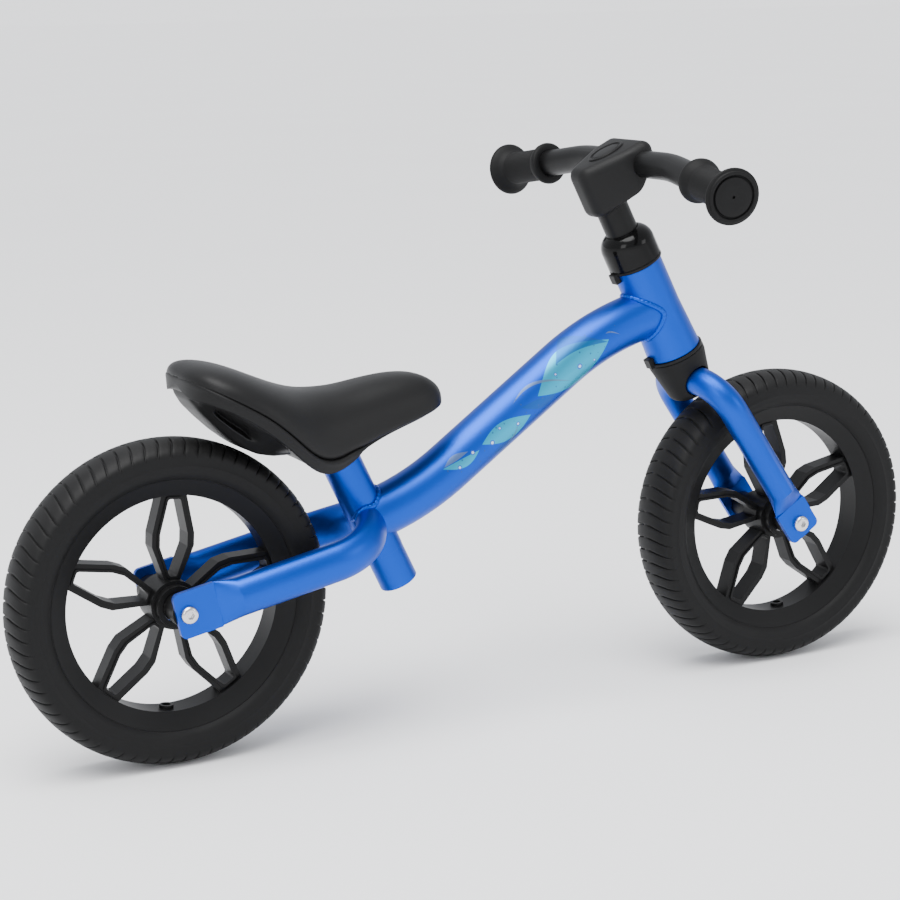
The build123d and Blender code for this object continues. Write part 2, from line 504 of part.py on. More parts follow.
def wheel(prefix, centre_x, petal_angle):
    """Rim with looped spokes, tyre, hub bearings and their dust caps, about one axle."""
    centre = Vector(centre_x, 0, WHEEL_R)
    axis = Axis(centre, (0, 1, 0))
    section = Plane(origin=centre, x_dir=(1, 0, 0), z_dir=(0, 0, 1))
    angles = [radians(petal_angle + index * 360 / SPOKE_COUNT) for index in range(SPOKE_COUNT)]

    with BuildPart() as rim:
        with BuildSketch(section):
            with BuildLine():
                Polyline(
                    (RIM_HOLE_R, -RIM_HOLE_HALF), (RIM_FLANGE_R, -RIM_FLANGE_HALF),
                    (RIM_FLANGE_R, -RIM_SEAT_HALF), (RIM_SEAT_R, -RIM_SEAT_HALF),
                    (RIM_SEAT_R, RIM_SEAT_HALF), (RIM_FLANGE_R, RIM_SEAT_HALF),
                    (RIM_FLANGE_R, RIM_FLANGE_HALF), (RIM_HOLE_R, RIM_HOLE_HALF), close=True)
            make_face()
            with Locations((HUB_R / 2, 0)):
                Rectangle(HUB_R, 2 * HUB_HALF)
            with Locations((HUB_NOSE_R / 2, 0)):
                Rectangle(HUB_NOSE_R, 2 * NOSE_END)
        revolve(axis=axis)
        for angle in angles:
            face = Plane(origin=centre, x_dir=(cos(angle), 0, sin(angle)), z_dir=(0, -1, 0))
            for outline, half_depth in ((PETAL_LOOP, SPOKE_HALF_DEPTH), (PETAL_LIP, SPOKE_LIP_HALF_DEPTH)):
                with BuildSketch(face):
                    add(outline)
                    add(PETAL_HOLE, mode=Mode.SUBTRACT)
                extrude(amount=half_depth, both=True)
        valve_out = Vector(-cos(angles[0]), 0, -sin(angles[0]))
        with BuildSketch(Plane(origin=centre + valve_out * (RIM_HOLE_R - VALVE_BOSS_H), z_dir=valve_out)):
            Circle(VALVE_BOSS_R)
        extrude(amount=VALVE_BOSS_H + 2)
        with BuildSketch(Plane(origin=centre + valve_out * (RIM_HOLE_R - VALVE_BOSS_H), z_dir=valve_out)):
            Circle(VALVE_HOLE_R)
        extrude(amount=30, mode=Mode.SUBTRACT)
        with BuildSketch(section):
            for bearing_y in (BEARING_Y + BEARING_W / 2, -BEARING_Y - BEARING_W / 2):
                with Locations((BEARING_R / 2, bearing_y)):
                    Rectangle(BEARING_R, BEARING_W)
            with Locations((CAP_R / 2, NOSE_END - 1), (CAP_R / 2, -NOSE_END + 1)):
                Rectangle(CAP_R, 2)
            with Locations(((AXLE_R + 2.5) / 2, 0)):
                Rectangle(AXLE_R + 2.5, 2 * BEARING_Y + 1)
        revolve(axis=axis, mode=Mode.SUBTRACT)
    publish(rim, prefix + "_rim")

    with BuildPart() as tyre:
        with BuildSketch(section):
            with BuildLine():
                Polyline((TYRE_SHOULDER_R, -TYRE_HALF + 0.4), (RIM_FLANGE_R + 9, -TYRE_HALF + 0.6),
                         (RIM_FLANGE_R + 0.2, -RIM_FLANGE_HALF - 0.4), (RIM_FLANGE_R, -RIM_SEAT_HALF),
                         (RIM_SEAT_R, -RIM_SEAT_HALF), (RIM_SEAT_R, RIM_SEAT_HALF),
                         (RIM_FLANGE_R, RIM_SEAT_HALF), (RIM_FLANGE_R + 0.2, RIM_FLANGE_HALF + 0.4),
                         (RIM_FLANGE_R + 9, TYRE_HALF - 0.6),
                         (TYRE_SHOULDER_R, TYRE_HALF - 0.4))
                ThreePointArc((TYRE_SHOULDER_R, TYRE_HALF - 0.4), (WHEEL_R, 0),
                              (TYRE_SHOULDER_R, -TYRE_HALF + 0.4))
            make_face()
        revolve(axis=axis)
    publish(tyre, prefix + "_tyre")

    with BuildPart() as bearings:
        with BuildSketch(section):
            for bearing_y in (BEARING_Y + BEARING_W / 2, -BEARING_Y - BEARING_W / 2):
                with Locations(((BEARING_R + AXLE_R + RUN_FIT) / 2, bearing_y)):
                    Rectangle(BEARING_R - AXLE_R - RUN_FIT, BEARING_W)
        revolve(axis=axis)
    publish(bearings, prefix + "_wheel_bearings")

    with BuildPart() as caps:
        with BuildSketch(section):
            for cap_y in (NOSE_END - 1, -NOSE_END + 1):
                with Locations(((CAP_R + SPACER_R + AIR_GAP) / 2, cap_y)):
                    Rectangle(CAP_R - SPACER_R - AIR_GAP, 2)
        revolve(axis=axis)
    publish(caps, prefix + "_hub_caps")


def axle_set(prefix, centre_x):
    """Fixed axle, its spacers and inner sleeve, and the two bolts that clamp it between the tube ends."""
    centre = Vector(centre_x, 0, WHEEL_R)
    along = Plane(origin=centre, x_dir=(1, 0, 0), z_dir=(0, 1, 0))
    with BuildPart() as axle:
        add(rod(along, -PLATE_INNER_Y, PLATE_INNER_Y, AXLE_R))
        for low in (-PLATE_INNER_Y, PLATE_INNER_Y - AXLE_THREAD_DEPTH):
            add(rod(along, low, low + AXLE_THREAD_DEPTH, BOLT_R + THREAD_GAP), mode=Mode.SUBTRACT)
    publish(axle, prefix + "_axle")

    with BuildPart() as spacers:
        inner_end = BEARING_Y + BEARING_W + AIR_GAP
        add(rod(along, inner_end, PLATE_INNER_Y, SPACER_R, AXLE_R))
        add(rod(along, -PLATE_INNER_Y, -inner_end, SPACER_R, AXLE_R))
    publish(spacers, prefix + "_axle_spacers")

    with BuildPart() as sleeve:
        add(rod(along, -BEARING_Y + AIR_GAP, BEARING_Y - AIR_GAP, AXLE_R + 2, AXLE_R))
    publish(sleeve, prefix + "_axle_sleeve")

    with BuildPart() as bolts:
        for side in (1, -1):
            outer_face = centre + Vector(0, side * (PLATE_INNER_Y + PLATE_T), 0)
            head = Plane(origin=outer_face, x_dir=(1, 0, 0), z_dir=(0, side, 0))
            add(button_bolt(head, BOLT_LENGTH, BOLT_R, BOLT_HEAD_R, BOLT_HEAD_H, HEX_FLATS, HEX_DEPTH))
    publish(bolts, prefix + "_axle_bolts")


wheel("rear", REAR_X, REAR_PETAL_ANGLE)
wheel("front", FRONT_X, FRONT_PETAL_ANGLE)
axle_set("rear", REAR_X)
axle_set("front", FRONT_X)

# ---------------------------------------------------------------- saddle
# heights from the ceiling that the post plate bolts to, x from the post's head
# pad: (x, half width, seam height, crown height)
PAD_STATIONS = [
    (-106.0, 24.0, 30.0, 42.0),
    (-98.0, 42.0, 27.0, 49.5),
    (-79.0, 56.0, 20.0, 47.0),
    (-56.0, 61.0, 2.0, 36.5),
    (-36.0, 59.0, -18.0, 28.5),
    (-19.0, 54.0, -32.0, 24.0),
    (-3.0, 48.0, -33.0, 22.5),
    (17.0, 41.0, -24.0, 23.0),
    (42.0, 35.0, -14.0, 26.0),
    (67.0, 30.0, -8.0, 28.5),
    (85.0, 25.0, -5.5, 25.0),
    (98.5, 14.0, -1.0, 13.0),
]
# belly of the base: (x, half width, lowest height)
BELLY_STATIONS = [
    (-100.0, 26.0, 19.0),
    (-78.0, 31.0, -5.0),
    (-53.0, 34.0, -24.0),
    (-24.0, 35.0, -31.0),
    (4.0, 33.0, -33.0),
    (24.0, 27.0, -22.0),
    (45.0, 22.0, -12.0),
    (76.0, 18.0, -8.0),
]
PAD_SKIN, PAD_THICK, SHELL_WALL, BELLY_DEPTH = 4.0, 15.0, 3.0, 14.0
SADDLE_STATIONS = [(POST_HEAD.X + x, half, SADDLE_CEILING_Z + low, SADDLE_CEILING_Z + high)
                   for x, half, low, high in PAD_STATIONS]
BELLY = [(POST_HEAD.X + x, half, SADDLE_CEILING_Z + low) for x, half, low in BELLY_STATIONS]


def arch(x, half, low, high):
    """Arched cross-section across the saddle at x."""
    with BuildSketch(Plane(origin=(x, 0, 0), x_dir=(0, 1, 0), z_dir=(1, 0, 0))) as made:
        with BuildLine():
            ThreePointArc((-half, low), (0, high), (half, low))
            Line((half, low), (-half, low))
        make_face()
    return made.sketch


def box_section(x, half, low, high):
    """Rectangular cross-section across the saddle at x."""
    with BuildSketch(Plane(origin=(x, 0, 0), x_dir=(0, 1, 0), z_dir=(1, 0, 0))) as made:
        with Locations((0, (low + high) / 2)):
            Rectangle(2 * half, high - low)
    return made.sketch


INNER_STATIONS = SADDLE_STATIONS[1:-1]
with BuildPart() as pad_hollow:
    loft([arch(x, half - PAD_SKIN, low - 3, high - PAD_THICK) for x, half, low, high in INNER_STATIONS])
with BuildPart() as saddle_pad:
    loft([arch(*station) for station in SADDLE_STATIONS])
    add(pad_hollow.part, mode=Mode.SUBTRACT)
publish(saddle_pad, "saddle_pad")

with BuildPart() as seat_axis_cut:
    add(rod(SEAT_END, SEAT_LENGTH - 60, POST_TOP + CUT_PAST, SEAT_CLAMP_R + 3))
    with BuildSketch(SEAT_END.offset(SEAT_LENGTH - 60)):
        with Locations((SEAT_CLAMP_R + SEAT_CLAMP_EAR / 2, 0)):
            Rectangle(SEAT_CLAMP_EAR + 12, 26)
    extrude(amount=POST_TOP + CUT_PAST + 60 - SEAT_LENGTH)
    split(bisect_by=Plane(origin=(0, 0, SADDLE_CEILING_Z)), keep=Keep.BOTTOM)

with BuildPart() as base_blank:
    loft([arch(x, half - PAD_SKIN - AIR_GAP, low + 0.5, high - PAD_THICK - AIR_GAP)
          for x, half, low, high in INNER_STATIONS])
    loft([box_section(x, half, low, low + BELLY_DEPTH) for x, half, low in BELLY], ruled=True)
    hollow = [box_section(x, half - SHELL_WALL, low + SHELL_WALL, SADDLE_CEILING_Z)
              for x, half, low in BELLY if low + SHELL_WALL < SADDLE_CEILING_Z - 4]
    loft(hollow, ruled=True, mode=Mode.SUBTRACT)
    add(seat_axis_cut.part, mode=Mode.SUBTRACT)
    add(saddle_pad.part, mode=Mode.SUBTRACT)
with BuildPart() as saddle_base:
    add(biggest(base_blank))
publish(saddle_base, "saddle_base")

POST_R = SEAT_R - SEAT_WALL - SLIDE_FIT
with BuildPart() as seat_post:
    add(rod(SEAT_END, POST_BOTTOM, POST_TOP + CUT_PAST, POST_R, POST_R - POST_WALL))
    split(bisect_by=Plane(origin=(0, 0, SADDLE_CEILING_Z - POST_PLATE_T)), keep=Keep.BOTTOM)
publish(seat_post, "seat_post")

with BuildPart() as post_plate:
    with BuildSketch(Plane(origin=(POST_HEAD.X, 0, SADDLE_CEILING_Z))):
        RectangleRounded(POST_PLATE_X, POST_PLATE_Y, 6)
        with GridLocations(POST_PLATE_X - POST_HOLE_INSET, POST_PLATE_Y - POST_HOLE_INSET, 2, 2):
            Circle(SADDLE_SCREW_R + BOLT_HOLE_GAP, mode=Mode.SUBTRACT)
    extrude(amount=-POST_PLATE_T)
publish(post_plate, "post_plate")

with BuildPart() as saddle_screws:
    with BuildSketch(Plane(origin=(POST_HEAD.X, 0, SADDLE_CEILING_Z - POST_PLATE_T))):
        with GridLocations(POST_PLATE_X - POST_HOLE_INSET, POST_PLATE_Y - POST_HOLE_INSET, 2, 2):
            Circle(SADDLE_SCREW_HEAD_R)
    extrude(amount=-SADDLE_SCREW_HEAD_H)
    with BuildSketch(Plane(origin=(POST_HEAD.X, 0, SADDLE_CEILING_Z - POST_PLATE_T))):
        with GridLocations(POST_PLATE_X - POST_HOLE_INSET, POST_PLATE_Y - POST_HOLE_INSET, 2, 2):
            Circle(SADDLE_SCREW_R)
    extrude(amount=POST_PLATE_T)
publish(saddle_screws, "saddle_screws")

CLAMP_LOW, CLAMP_SLIT, CLAMP_EAR_WIDTH = SEAT_LENGTH - SEAT_CLAMP_H - 1, 2.0, 14.0
EAR_MIDDLE = SEAT_CLAMP_R + SEAT_CLAMP_EAR / 2 - 2
CLAMP_CENTRE = SEAT_FOOT + SEAT_DIR * (CLAMP_LOW + SEAT_CLAMP_H / 2) + SEAT_AHEAD * (EAR_MIDDLE + 1)
with BuildPart() as seat_clamp:
    with BuildSketch(SEAT_END.offset(CLAMP_LOW)):
        Circle(SEAT_CLAMP_R)
        with Locations((EAR_MIDDLE, 0)):
            Rectangle(SEAT_CLAMP_EAR, CLAMP_EAR_WIDTH)
        Circle(SEAT_R, mode=Mode.SUBTRACT)
        with Locations((EAR_MIDDLE, 0)):
            Rectangle(SEAT_CLAMP_EAR + 10, CLAMP_SLIT, mode=Mode.SUBTRACT)
    extrude(amount=SEAT_CLAMP_H)
    add(rod(Plane(origin=CLAMP_CENTRE, x_dir=SEAT_AHEAD, z_dir=(0, 1, 0)), -CLAMP_EAR_WIDTH, CLAMP_EAR_WIDTH,
            CLAMP_BOLT_R + BOLT_HOLE_GAP), mode=Mode.SUBTRACT)
publish(seat_clamp, "seat_clamp")

with BuildPart() as seat_clamp_bolt:
    bolt_seat = CLAMP_CENTRE - Vector(0, CLAMP_EAR_WIDTH / 2, 0)
    clamp_side = Plane(origin=bolt_seat, x_dir=SEAT_AHEAD, z_dir=(0, -1, 0))
    add(button_bolt(clamp_side, CLAMP_EAR_WIDTH, CLAMP_BOLT_R, CLAMP_HEAD_R, CLAMP_HEAD_H, CLAMP_HEX,
                    CLAMP_HEX_DEPTH))
publish(seat_clamp_bolt, "seat_clamp_bolt")
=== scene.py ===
"""Balance bike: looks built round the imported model, in metres, +X forward, +Y to the rider's left, +Z up."""
import json
from math import cos, pi, radians, sin, tau

import bmesh
import bpy
from mathutils import Matrix, Vector
from mathutils.bvhtree import BVHTree


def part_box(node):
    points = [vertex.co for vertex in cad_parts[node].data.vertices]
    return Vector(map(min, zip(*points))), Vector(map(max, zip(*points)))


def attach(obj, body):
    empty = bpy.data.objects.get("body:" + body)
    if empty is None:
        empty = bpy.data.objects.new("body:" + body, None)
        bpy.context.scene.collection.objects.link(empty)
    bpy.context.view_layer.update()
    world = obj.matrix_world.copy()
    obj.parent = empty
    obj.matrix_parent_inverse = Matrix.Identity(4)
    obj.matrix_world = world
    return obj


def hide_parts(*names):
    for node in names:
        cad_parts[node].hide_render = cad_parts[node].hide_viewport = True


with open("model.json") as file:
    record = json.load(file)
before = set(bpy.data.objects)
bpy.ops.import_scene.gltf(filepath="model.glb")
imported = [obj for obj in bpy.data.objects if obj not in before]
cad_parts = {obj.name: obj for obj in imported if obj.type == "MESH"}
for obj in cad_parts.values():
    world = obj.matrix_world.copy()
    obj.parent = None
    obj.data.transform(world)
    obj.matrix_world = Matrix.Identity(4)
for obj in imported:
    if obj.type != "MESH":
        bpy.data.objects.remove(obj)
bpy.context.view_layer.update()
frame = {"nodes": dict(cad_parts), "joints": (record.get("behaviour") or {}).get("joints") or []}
cad = frame["nodes"]
joints = {joint["name"]: joint for joint in frame["joints"]}

# ------------------------------------------------------------------ The room
# A pale floor, one big soft box above, one at each side and a bank of tubes over all, as a studio has them.
# The camera stands at the rider's right, behind the rear wheel's line and a little above the saddle.
camera_spot = Vector((-0.8130, -1.5607, 0.5752))
camera_aim = Vector((-0.0192, 0.0288, 0.2110))
camera_lean = radians(-1.219)
camera = bpy.data.objects.new("studio_camera", bpy.data.cameras.new("studio_camera"))
bpy.context.scene.collection.objects.link(camera)
camera.data.lens = 88.52
camera.data.sensor_width = 36.0
camera.location = camera_spot
looking = (camera_aim - camera_spot).to_track_quat("-Z", "Y").to_matrix().to_4x4()
camera.matrix_world = Matrix.Translation(camera_spot) @ looking @ Matrix.Rotation(camera_lean, 4, "Z")
bpy.context.scene.camera = camera


def soft_box(name, spot, aim, size, power, tint=(1.0, 1.0, 1.0)):
    """Square studio light at `spot`, turned to face `aim`."""
    lamp = bpy.data.objects.new(name, bpy.data.lights.new(name, "AREA"))
    bpy.context.scene.collection.objects.link(lamp)
    lamp.data.size = size
    lamp.data.energy = power
    lamp.data.color = tint
    lamp.location = spot
    lamp.rotation_mode = "QUATERNION"
    lamp.rotation_quaternion = (Vector(aim) - Vector(spot)).to_track_quat("-Z", "Y")


soft_box("overhead_box", (-0.5, -0.3, 2.2), (0.0, 0.0, 0.3), 1.6, 34)
soft_box("left_box", (-2.2, -1.5, 1.2), (0.0, 0.0, 0.25), 1.0, 16)
soft_box("right_box", (1.7, -2.0, 1.1), (0.1, 0.0, 0.25), 0.9, 10)

# The bank of ceiling tubes lights the whole floor evenly, out to its far edge.
ceiling = bpy.data.objects.new("ceiling_bank", bpy.data.lights.new("ceiling_bank", "SUN"))
bpy.context.scene.collection.objects.link(ceiling)
ceiling.data.energy = 3.4
ceiling.data.angle = radians(50)
ceiling.rotation_euler = (radians(14), radians(-16), 0.0)

room_light = bpy.data.worlds.new("room_light")
bpy.context.scene.world = room_light
room_light.use_nodes = True
room_light.node_tree.nodes["Background"].inputs["Color"].default_value = (0.93, 0.95, 1.0, 1.0)
room_light.node_tree.nodes["Background"].inputs["Strength"].default_value = 1.0

# The floor climbs gently far away, so that no edge shows behind the bike.
floor_mesh = bpy.data.meshes.new("floor")
corners = [(-1, -1), (1, -1), (1, 1), (-1, 1)]
flat_reach, far_reach, far_rise = 60.0, 160.0, 12.0
spots = [(x * flat_reach, y * flat_reach, 0) for x, y in corners]
spots += [(x * far_reach, y * far_reach, far_rise) for x, y in corners]
climbs = [(k, k + 4, (k + 1) % 4 + 4, (k + 1) % 4) for k in range(4)]
floor_mesh.from_pydata(spots, [], [(0, 1, 2, 3)] + climbs)
floor = bpy.data.objects.new("floor", floor_mesh)
bpy.context.scene.collection.objects.link(floor)


def add_node(tree, kind, **settings):
    """A new node of that kind, with its settings."""
    made = tree.nodes.new(kind)
    for key, value in settings.items():
        setattr(made, key, value)
    return made


def feed(tree, target, value):
    """Link a socket to `target`, or set the target's own value."""
    if isinstance(value, bpy.types.NodeSocket):
        tree.links.new(value, target)
    else:
        target.default_value = value


def maths(tree, operation, *values, clamp=False):
    """One step of arithmetic on sockets or numbers."""
    step = add_node(tree, "ShaderNodeMath", operation=operation, use_clamp=clamp)
    for socket, value in zip(step.inputs, values):
        feed(tree, socket, value)
    return step.outputs[0]


def new_material(name, metallic=0.0, coat=0.0, coat_roughness=0.1, specular=0.5):
    """An empty material: its tree, its surface shader and its own Object coordinates."""
    material = bpy.data.materials.new(name)
    material.use_nodes = True
    tree = material.node_tree
    surface = tree.nodes["Principled BSDF"]
    surface.inputs["Metallic"].default_value = metallic
    surface.inputs["Coat Weight"].default_value = coat
    surface.inputs["Coat Roughness"].default_value = coat_roughness
    surface.inputs["Specular IOR Level"].default_value = specular
    place = add_node(tree, "ShaderNodeTexCoord").outputs["Object"]
    return material, tree, surface, place


def new_group(name, inputs, outputs):
    """A shader node group with named float, vector or colour sockets."""
    kinds = {"f": "NodeSocketFloat", "v": "NodeSocketVector", "c": "NodeSocketColor"}
    group = bpy.data.node_groups.new(name, "ShaderNodeTree")
    for label, kind in inputs:
        group.interface.new_socket(label, in_out="INPUT", socket_type=kinds[kind])
    for label, kind in outputs:
        group.interface.new_socket(label, in_out="OUTPUT", socket_type=kinds[kind])
    return group, add_node(group, "NodeGroupInput").outputs, add_node(group, "NodeGroupOutput").inputs


def use_group(tree, group, **values):
    """The group placed in a tree, with its inputs fed by name."""
    placed = add_node(tree, "ShaderNodeGroup", node_tree=group)
    for label, value in values.items():
        feed(tree, placed.inputs[label.replace("_", " ")], value)
    return placed.outputs


def bump(tree, surface, height, strength, distance):
    """Relief from a height socket, in metres."""
    relief = add_node(tree, "ShaderNodeBump")
    relief.inputs["Strength"].default_value = strength
    relief.inputs["Distance"].default_value = distance
    feed(tree, relief.inputs["Height"], height)
    feed(tree, surface.inputs["Normal"], relief.outputs["Normal"])


def mixed(tree, factor, first, second):
    """Colour mix of two sockets or plain colours."""
    mix = add_node(tree, "ShaderNodeMix", data_type="RGBA")
    feed(tree, mix.inputs["Factor"], factor)
    feed(tree, mix.inputs["A"], first)
    feed(tree, mix.inputs["B"], second)
    return mix.outputs["Result"]


floor_paint, tree, surface, place = new_material("pale_floor_paint")
mottle = add_node(tree, "ShaderNodeTexNoise")
mottle.inputs["Scale"].default_value = 1.5
feed(tree, mottle.inputs["Vector"], place)
floor_dull, floor_bright = (0.90, 0.90, 0.905, 1), (0.93, 0.93, 0.935, 1)
feed(tree, surface.inputs["Base Color"], mixed(tree, mottle.outputs["Fac"], floor_dull, floor_bright))
surface.inputs["Roughness"].default_value = 0.75
floor.data.materials.append(floor_paint)

# ------------------------------------------------------------------ Painted frame tubes
# Mild steel tubes and flattened tube ends, welded up and then powder coated in one blue metallic colour
# under a clear lacquer. The lacquer lies over every edge, so each edge is slightly round.
grain, took, gives = new_group(
    "fine_grain", [("Place", "v"), ("Scale", "f"), ("Smooth", "f"), ("Rough", "f")],
    [("Height", "f"), ("Roughness", "f"), ("Mottle", "f")])
small = add_node(grain, "ShaderNodeTexNoise")
feed(grain, small.inputs["Vector"], took["Place"])
feed(grain, small.inputs["Scale"], took["Scale"])
small.inputs["Detail"].default_value = 4.0
cells = add_node(grain, "ShaderNodeTexVoronoi", feature="DISTANCE_TO_EDGE")
feed(grain, cells.inputs["Vector"], took["Place"])
feed(grain, cells.inputs["Scale"], maths(grain, "MULTIPLY", took["Scale"], 0.8))
broad = add_node(grain, "ShaderNodeTexNoise")
feed(grain, broad.inputs["Vector"], took["Place"])
broad.inputs["Scale"].default_value = 14.0
pebbles = maths(grain, "SMOOTH_MIN", cells.outputs["Distance"], 0.25, 0.1)
fuzz = maths(grain, "MULTIPLY", small.outputs["Fac"], 0.4)
feed(grain, gives["Height"], maths(grain, "ADD", fuzz, pebbles))
spread = maths(grain, "SUBTRACT", took["Rough"], took["Smooth"])
patchy = maths(grain, "ADD", maths(grain, "MULTIPLY", broad.outputs["Fac"], 0.6),
               maths(grain, "MULTIPLY", small.outputs["Fac"], 0.4))
rougher = maths(grain, "MULTIPLY", spread, patchy)
feed(grain, gives["Roughness"], maths(grain, "ADD", took["Smooth"], rougher))
feed(grain, gives["Mottle"], patchy)

settled, took, gives = new_group(
    "settled_dust", [("Colour", "c"), ("Amount", "f"), ("Place", "v")], [("Colour", "c")])
facing = add_node(settled, "ShaderNodeSeparateXYZ")
feed(settled, facing.inputs[0], add_node(settled, "ShaderNodeNewGeometry").outputs["Normal"])
drift = add_node(settled, "ShaderNodeTexNoise")
feed(settled, drift.inputs["Vector"], took["Place"])
drift.inputs["Scale"].default_value = 40.0
drift.inputs["Detail"].default_value = 6.0
film = maths(settled, "MULTIPLY", maths(settled, "MAXIMUM", facing.outputs["Z"], 0.0), drift.outputs["Fac"])
dust_colour = (0.30, 0.29, 0.28, 1)
cover = maths(settled, "MULTIPLY", film, took["Amount"])
feed(settled, gives["Colour"], mixed(settled, cover, took["Colour"], dust_colour))


def dusted(tree, surface, place, colour, amount):
    """Feed a surface its colour with a little dust on what faces up."""
    made = use_group(tree, settled, Colour=colour, Amount=amount, Place=place)
    feed(tree, surface.inputs["Base Color"], made["Colour"])


paint_deep, paint_light = (0.0002, 0.050, 0.400, 1), (0.0004, 0.068, 0.500, 1)


def blue_paint(name):
    """Blue metallic lacquer: flake, a faint orange peel and a clear coat. Returns what a decal goes over."""
    made, tree, surface, place = new_material(name, metallic=0.90, coat=0.06, coat_roughness=0.30)
    flake = use_group(tree, grain, Place=place, Scale=2600.0, Smooth=0.34, Rough=0.46)
    peel = add_node(tree, "ShaderNodeTexNoise")
    feed(tree, peel.inputs["Vector"], place)
    peel.inputs["Scale"].default_value = 420.0
    bump(tree, surface, peel.outputs["Fac"], 0.10, 0.0006)
    feed(tree, surface.inputs["Roughness"], flake["Roughness"])
    colour = mixed(tree, flake["Mottle"], paint_deep, paint_light)
    dusted(tree, surface, place, colour, 0.005)
    return made, tree, surface, place, colour


frame_paint = blue_paint("blue_frame_paint")[0]


def clothe(piece, material):
    """Give a piece, or a CAD node that stays in sight, its material."""
    piece.data.materials.clear()
    piece.data.materials.append(material)


def settle(piece, body, slot, *stands_for):
    """Fix a finished piece to its body and hide the CAD nodes that it stands for. The slot is not used."""
    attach(piece, body)
    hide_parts(*stands_for)


def from_mesh(name, points, faces, material, smooth_angle=35):
    """A piece from points and faces, with its normals turned outwards."""
    mesh = bpy.data.meshes.new(name)
    mesh.from_pydata([tuple(point) for point in points], [], faces)
    work = bmesh.new()
    work.from_mesh(mesh)
    bmesh.ops.remove_doubles(work, verts=work.verts, dist=1e-6)
    bmesh.ops.recalc_face_normals(work, faces=work.faces)
    work.to_mesh(mesh)
    work.free()
    mesh.shade_smooth()
    mesh.set_sharp_from_angle(angle=radians(smooth_angle))
    piece = bpy.data.objects.new(name, mesh)
    bpy.context.scene.collection.objects.link(piece)
    piece.data.materials.append(material)
    return piece


def baked(piece):
    """Apply a piece's modifiers for good."""
    ready = bpy.data.meshes.new_from_object(piece.evaluated_get(bpy.context.evaluated_depsgraph_get()))
    piece.modifiers.clear()
    piece.data = ready
    return piece


def eased(node, name, material, edge=0.0005, edge_angle=40, smooth_angle=30):
    """A copy of a CAD node with joined faces and softly rounded edges."""
    mesh = cad[node].data.copy()
    work = bmesh.new()
    work.from_mesh(mesh)
    bmesh.ops.remove_doubles(work, verts=work.verts, dist=1e-6)
    bmesh.ops.dissolve_limit(work, angle_limit=radians(0.4), verts=work.verts, edges=work.edges)
    work.to_mesh(mesh)
    work.free()
    for layer in list(mesh.attributes):
        if layer.name == "custom_normal":
            mesh.attributes.remove(layer)
    mesh.shade_smooth()
    mesh.set_sharp_from_angle(angle=radians(smooth_angle))
    piece = bpy.data.objects.new(name, mesh)
    bpy.context.scene.collection.objects.link(piece)
    clothe(piece, material)
    if edge:
        rounding = piece.modifiers.new("rounding", "BEVEL")
        rounding.width = edge
        rounding.segments = 2
        rounding.limit_method = "ANGLE"
        rounding.angle_limit = radians(edge_angle)
        rounding.harden_normals = True
        baked(piece)
    return piece


for node in ("head_tube", "seat_tube", "chain_stay_left", "chain_stay_right"):
    settle(eased(node, "painted_" + node, frame_paint, 0.0008), "frame", "frame_paint", node)
for node in ("fork_leg_left", "fork_leg_right"):
    settle(eased(node, "painted_" + node, frame_paint, 0.0008), "fork", "frame_paint", node)

# ------------------------------------------------------------------ Main tube and its decal
# The big bent tube between the seat tube and the head tube, painted like the rest. Both of its sides carry
# a printed film of turquoise and grey swells with a scatter of small bubbles, under the lacquer.
swell_inputs = ("U", "V", "Start", "End", "Middle", "Slope", "Bend", "Width")
swell, took, gives = new_group("swell", [(label, "f") for label in swell_inputs], [("Mask", "f")])
along = maths(swell, "DIVIDE", maths(swell, "SUBTRACT", took["U"], took["Start"]),
              maths(swell, "SUBTRACT", took["End"], took["Start"]), clamp=True)
belly = maths(swell, "SINE", maths(swell, "MULTIPLY", along, pi))
centre = maths(swell, "ADD", took["Middle"], maths(swell, "MULTIPLY", took["Slope"],
                                                   maths(swell, "SUBTRACT", along, 0.5)))
centre = maths(swell, "ADD", centre, maths(swell, "MULTIPLY", took["Bend"], belly))
away = maths(swell, "ABSOLUTE", maths(swell, "SUBTRACT", took["V"], centre))
inside = maths(swell, "SUBTRACT", maths(swell, "MULTIPLY", took["Width"], belly), away)
feed(swell, gives["Mask"], maths(swell, "MULTIPLY", inside, 4000.0, clamp=True))

tube_paint, tree, surface, place, colour = blue_paint("blue_paint_with_decal")
decal_run = Vector((0.820, 0.0, 0.572))
decal_up = Vector((-0.572, 0.0, 0.820))
decal_origin = Vector((-0.062, 0.0, 0.1859))


def measured(direction):
    """Distance of a surface point from the decal's origin along a direction."""
    dot = add_node(tree, "ShaderNodeVectorMath", operation="DOT_PRODUCT")
    feed(tree, dot.inputs[0], place)
    feed(tree, dot.inputs[1], tuple(direction))
    return maths(tree, "SUBTRACT", dot.outputs["Value"], decal_origin.dot(direction))


decal_u, decal_v = measured(decal_run), measured(decal_up)
turquoise, sea_grey, deep_blue = (0.010, 0.36, 0.50, 1), (0.110, 0.17, 0.26, 1), (0.008, 0.075, 0.30, 1)
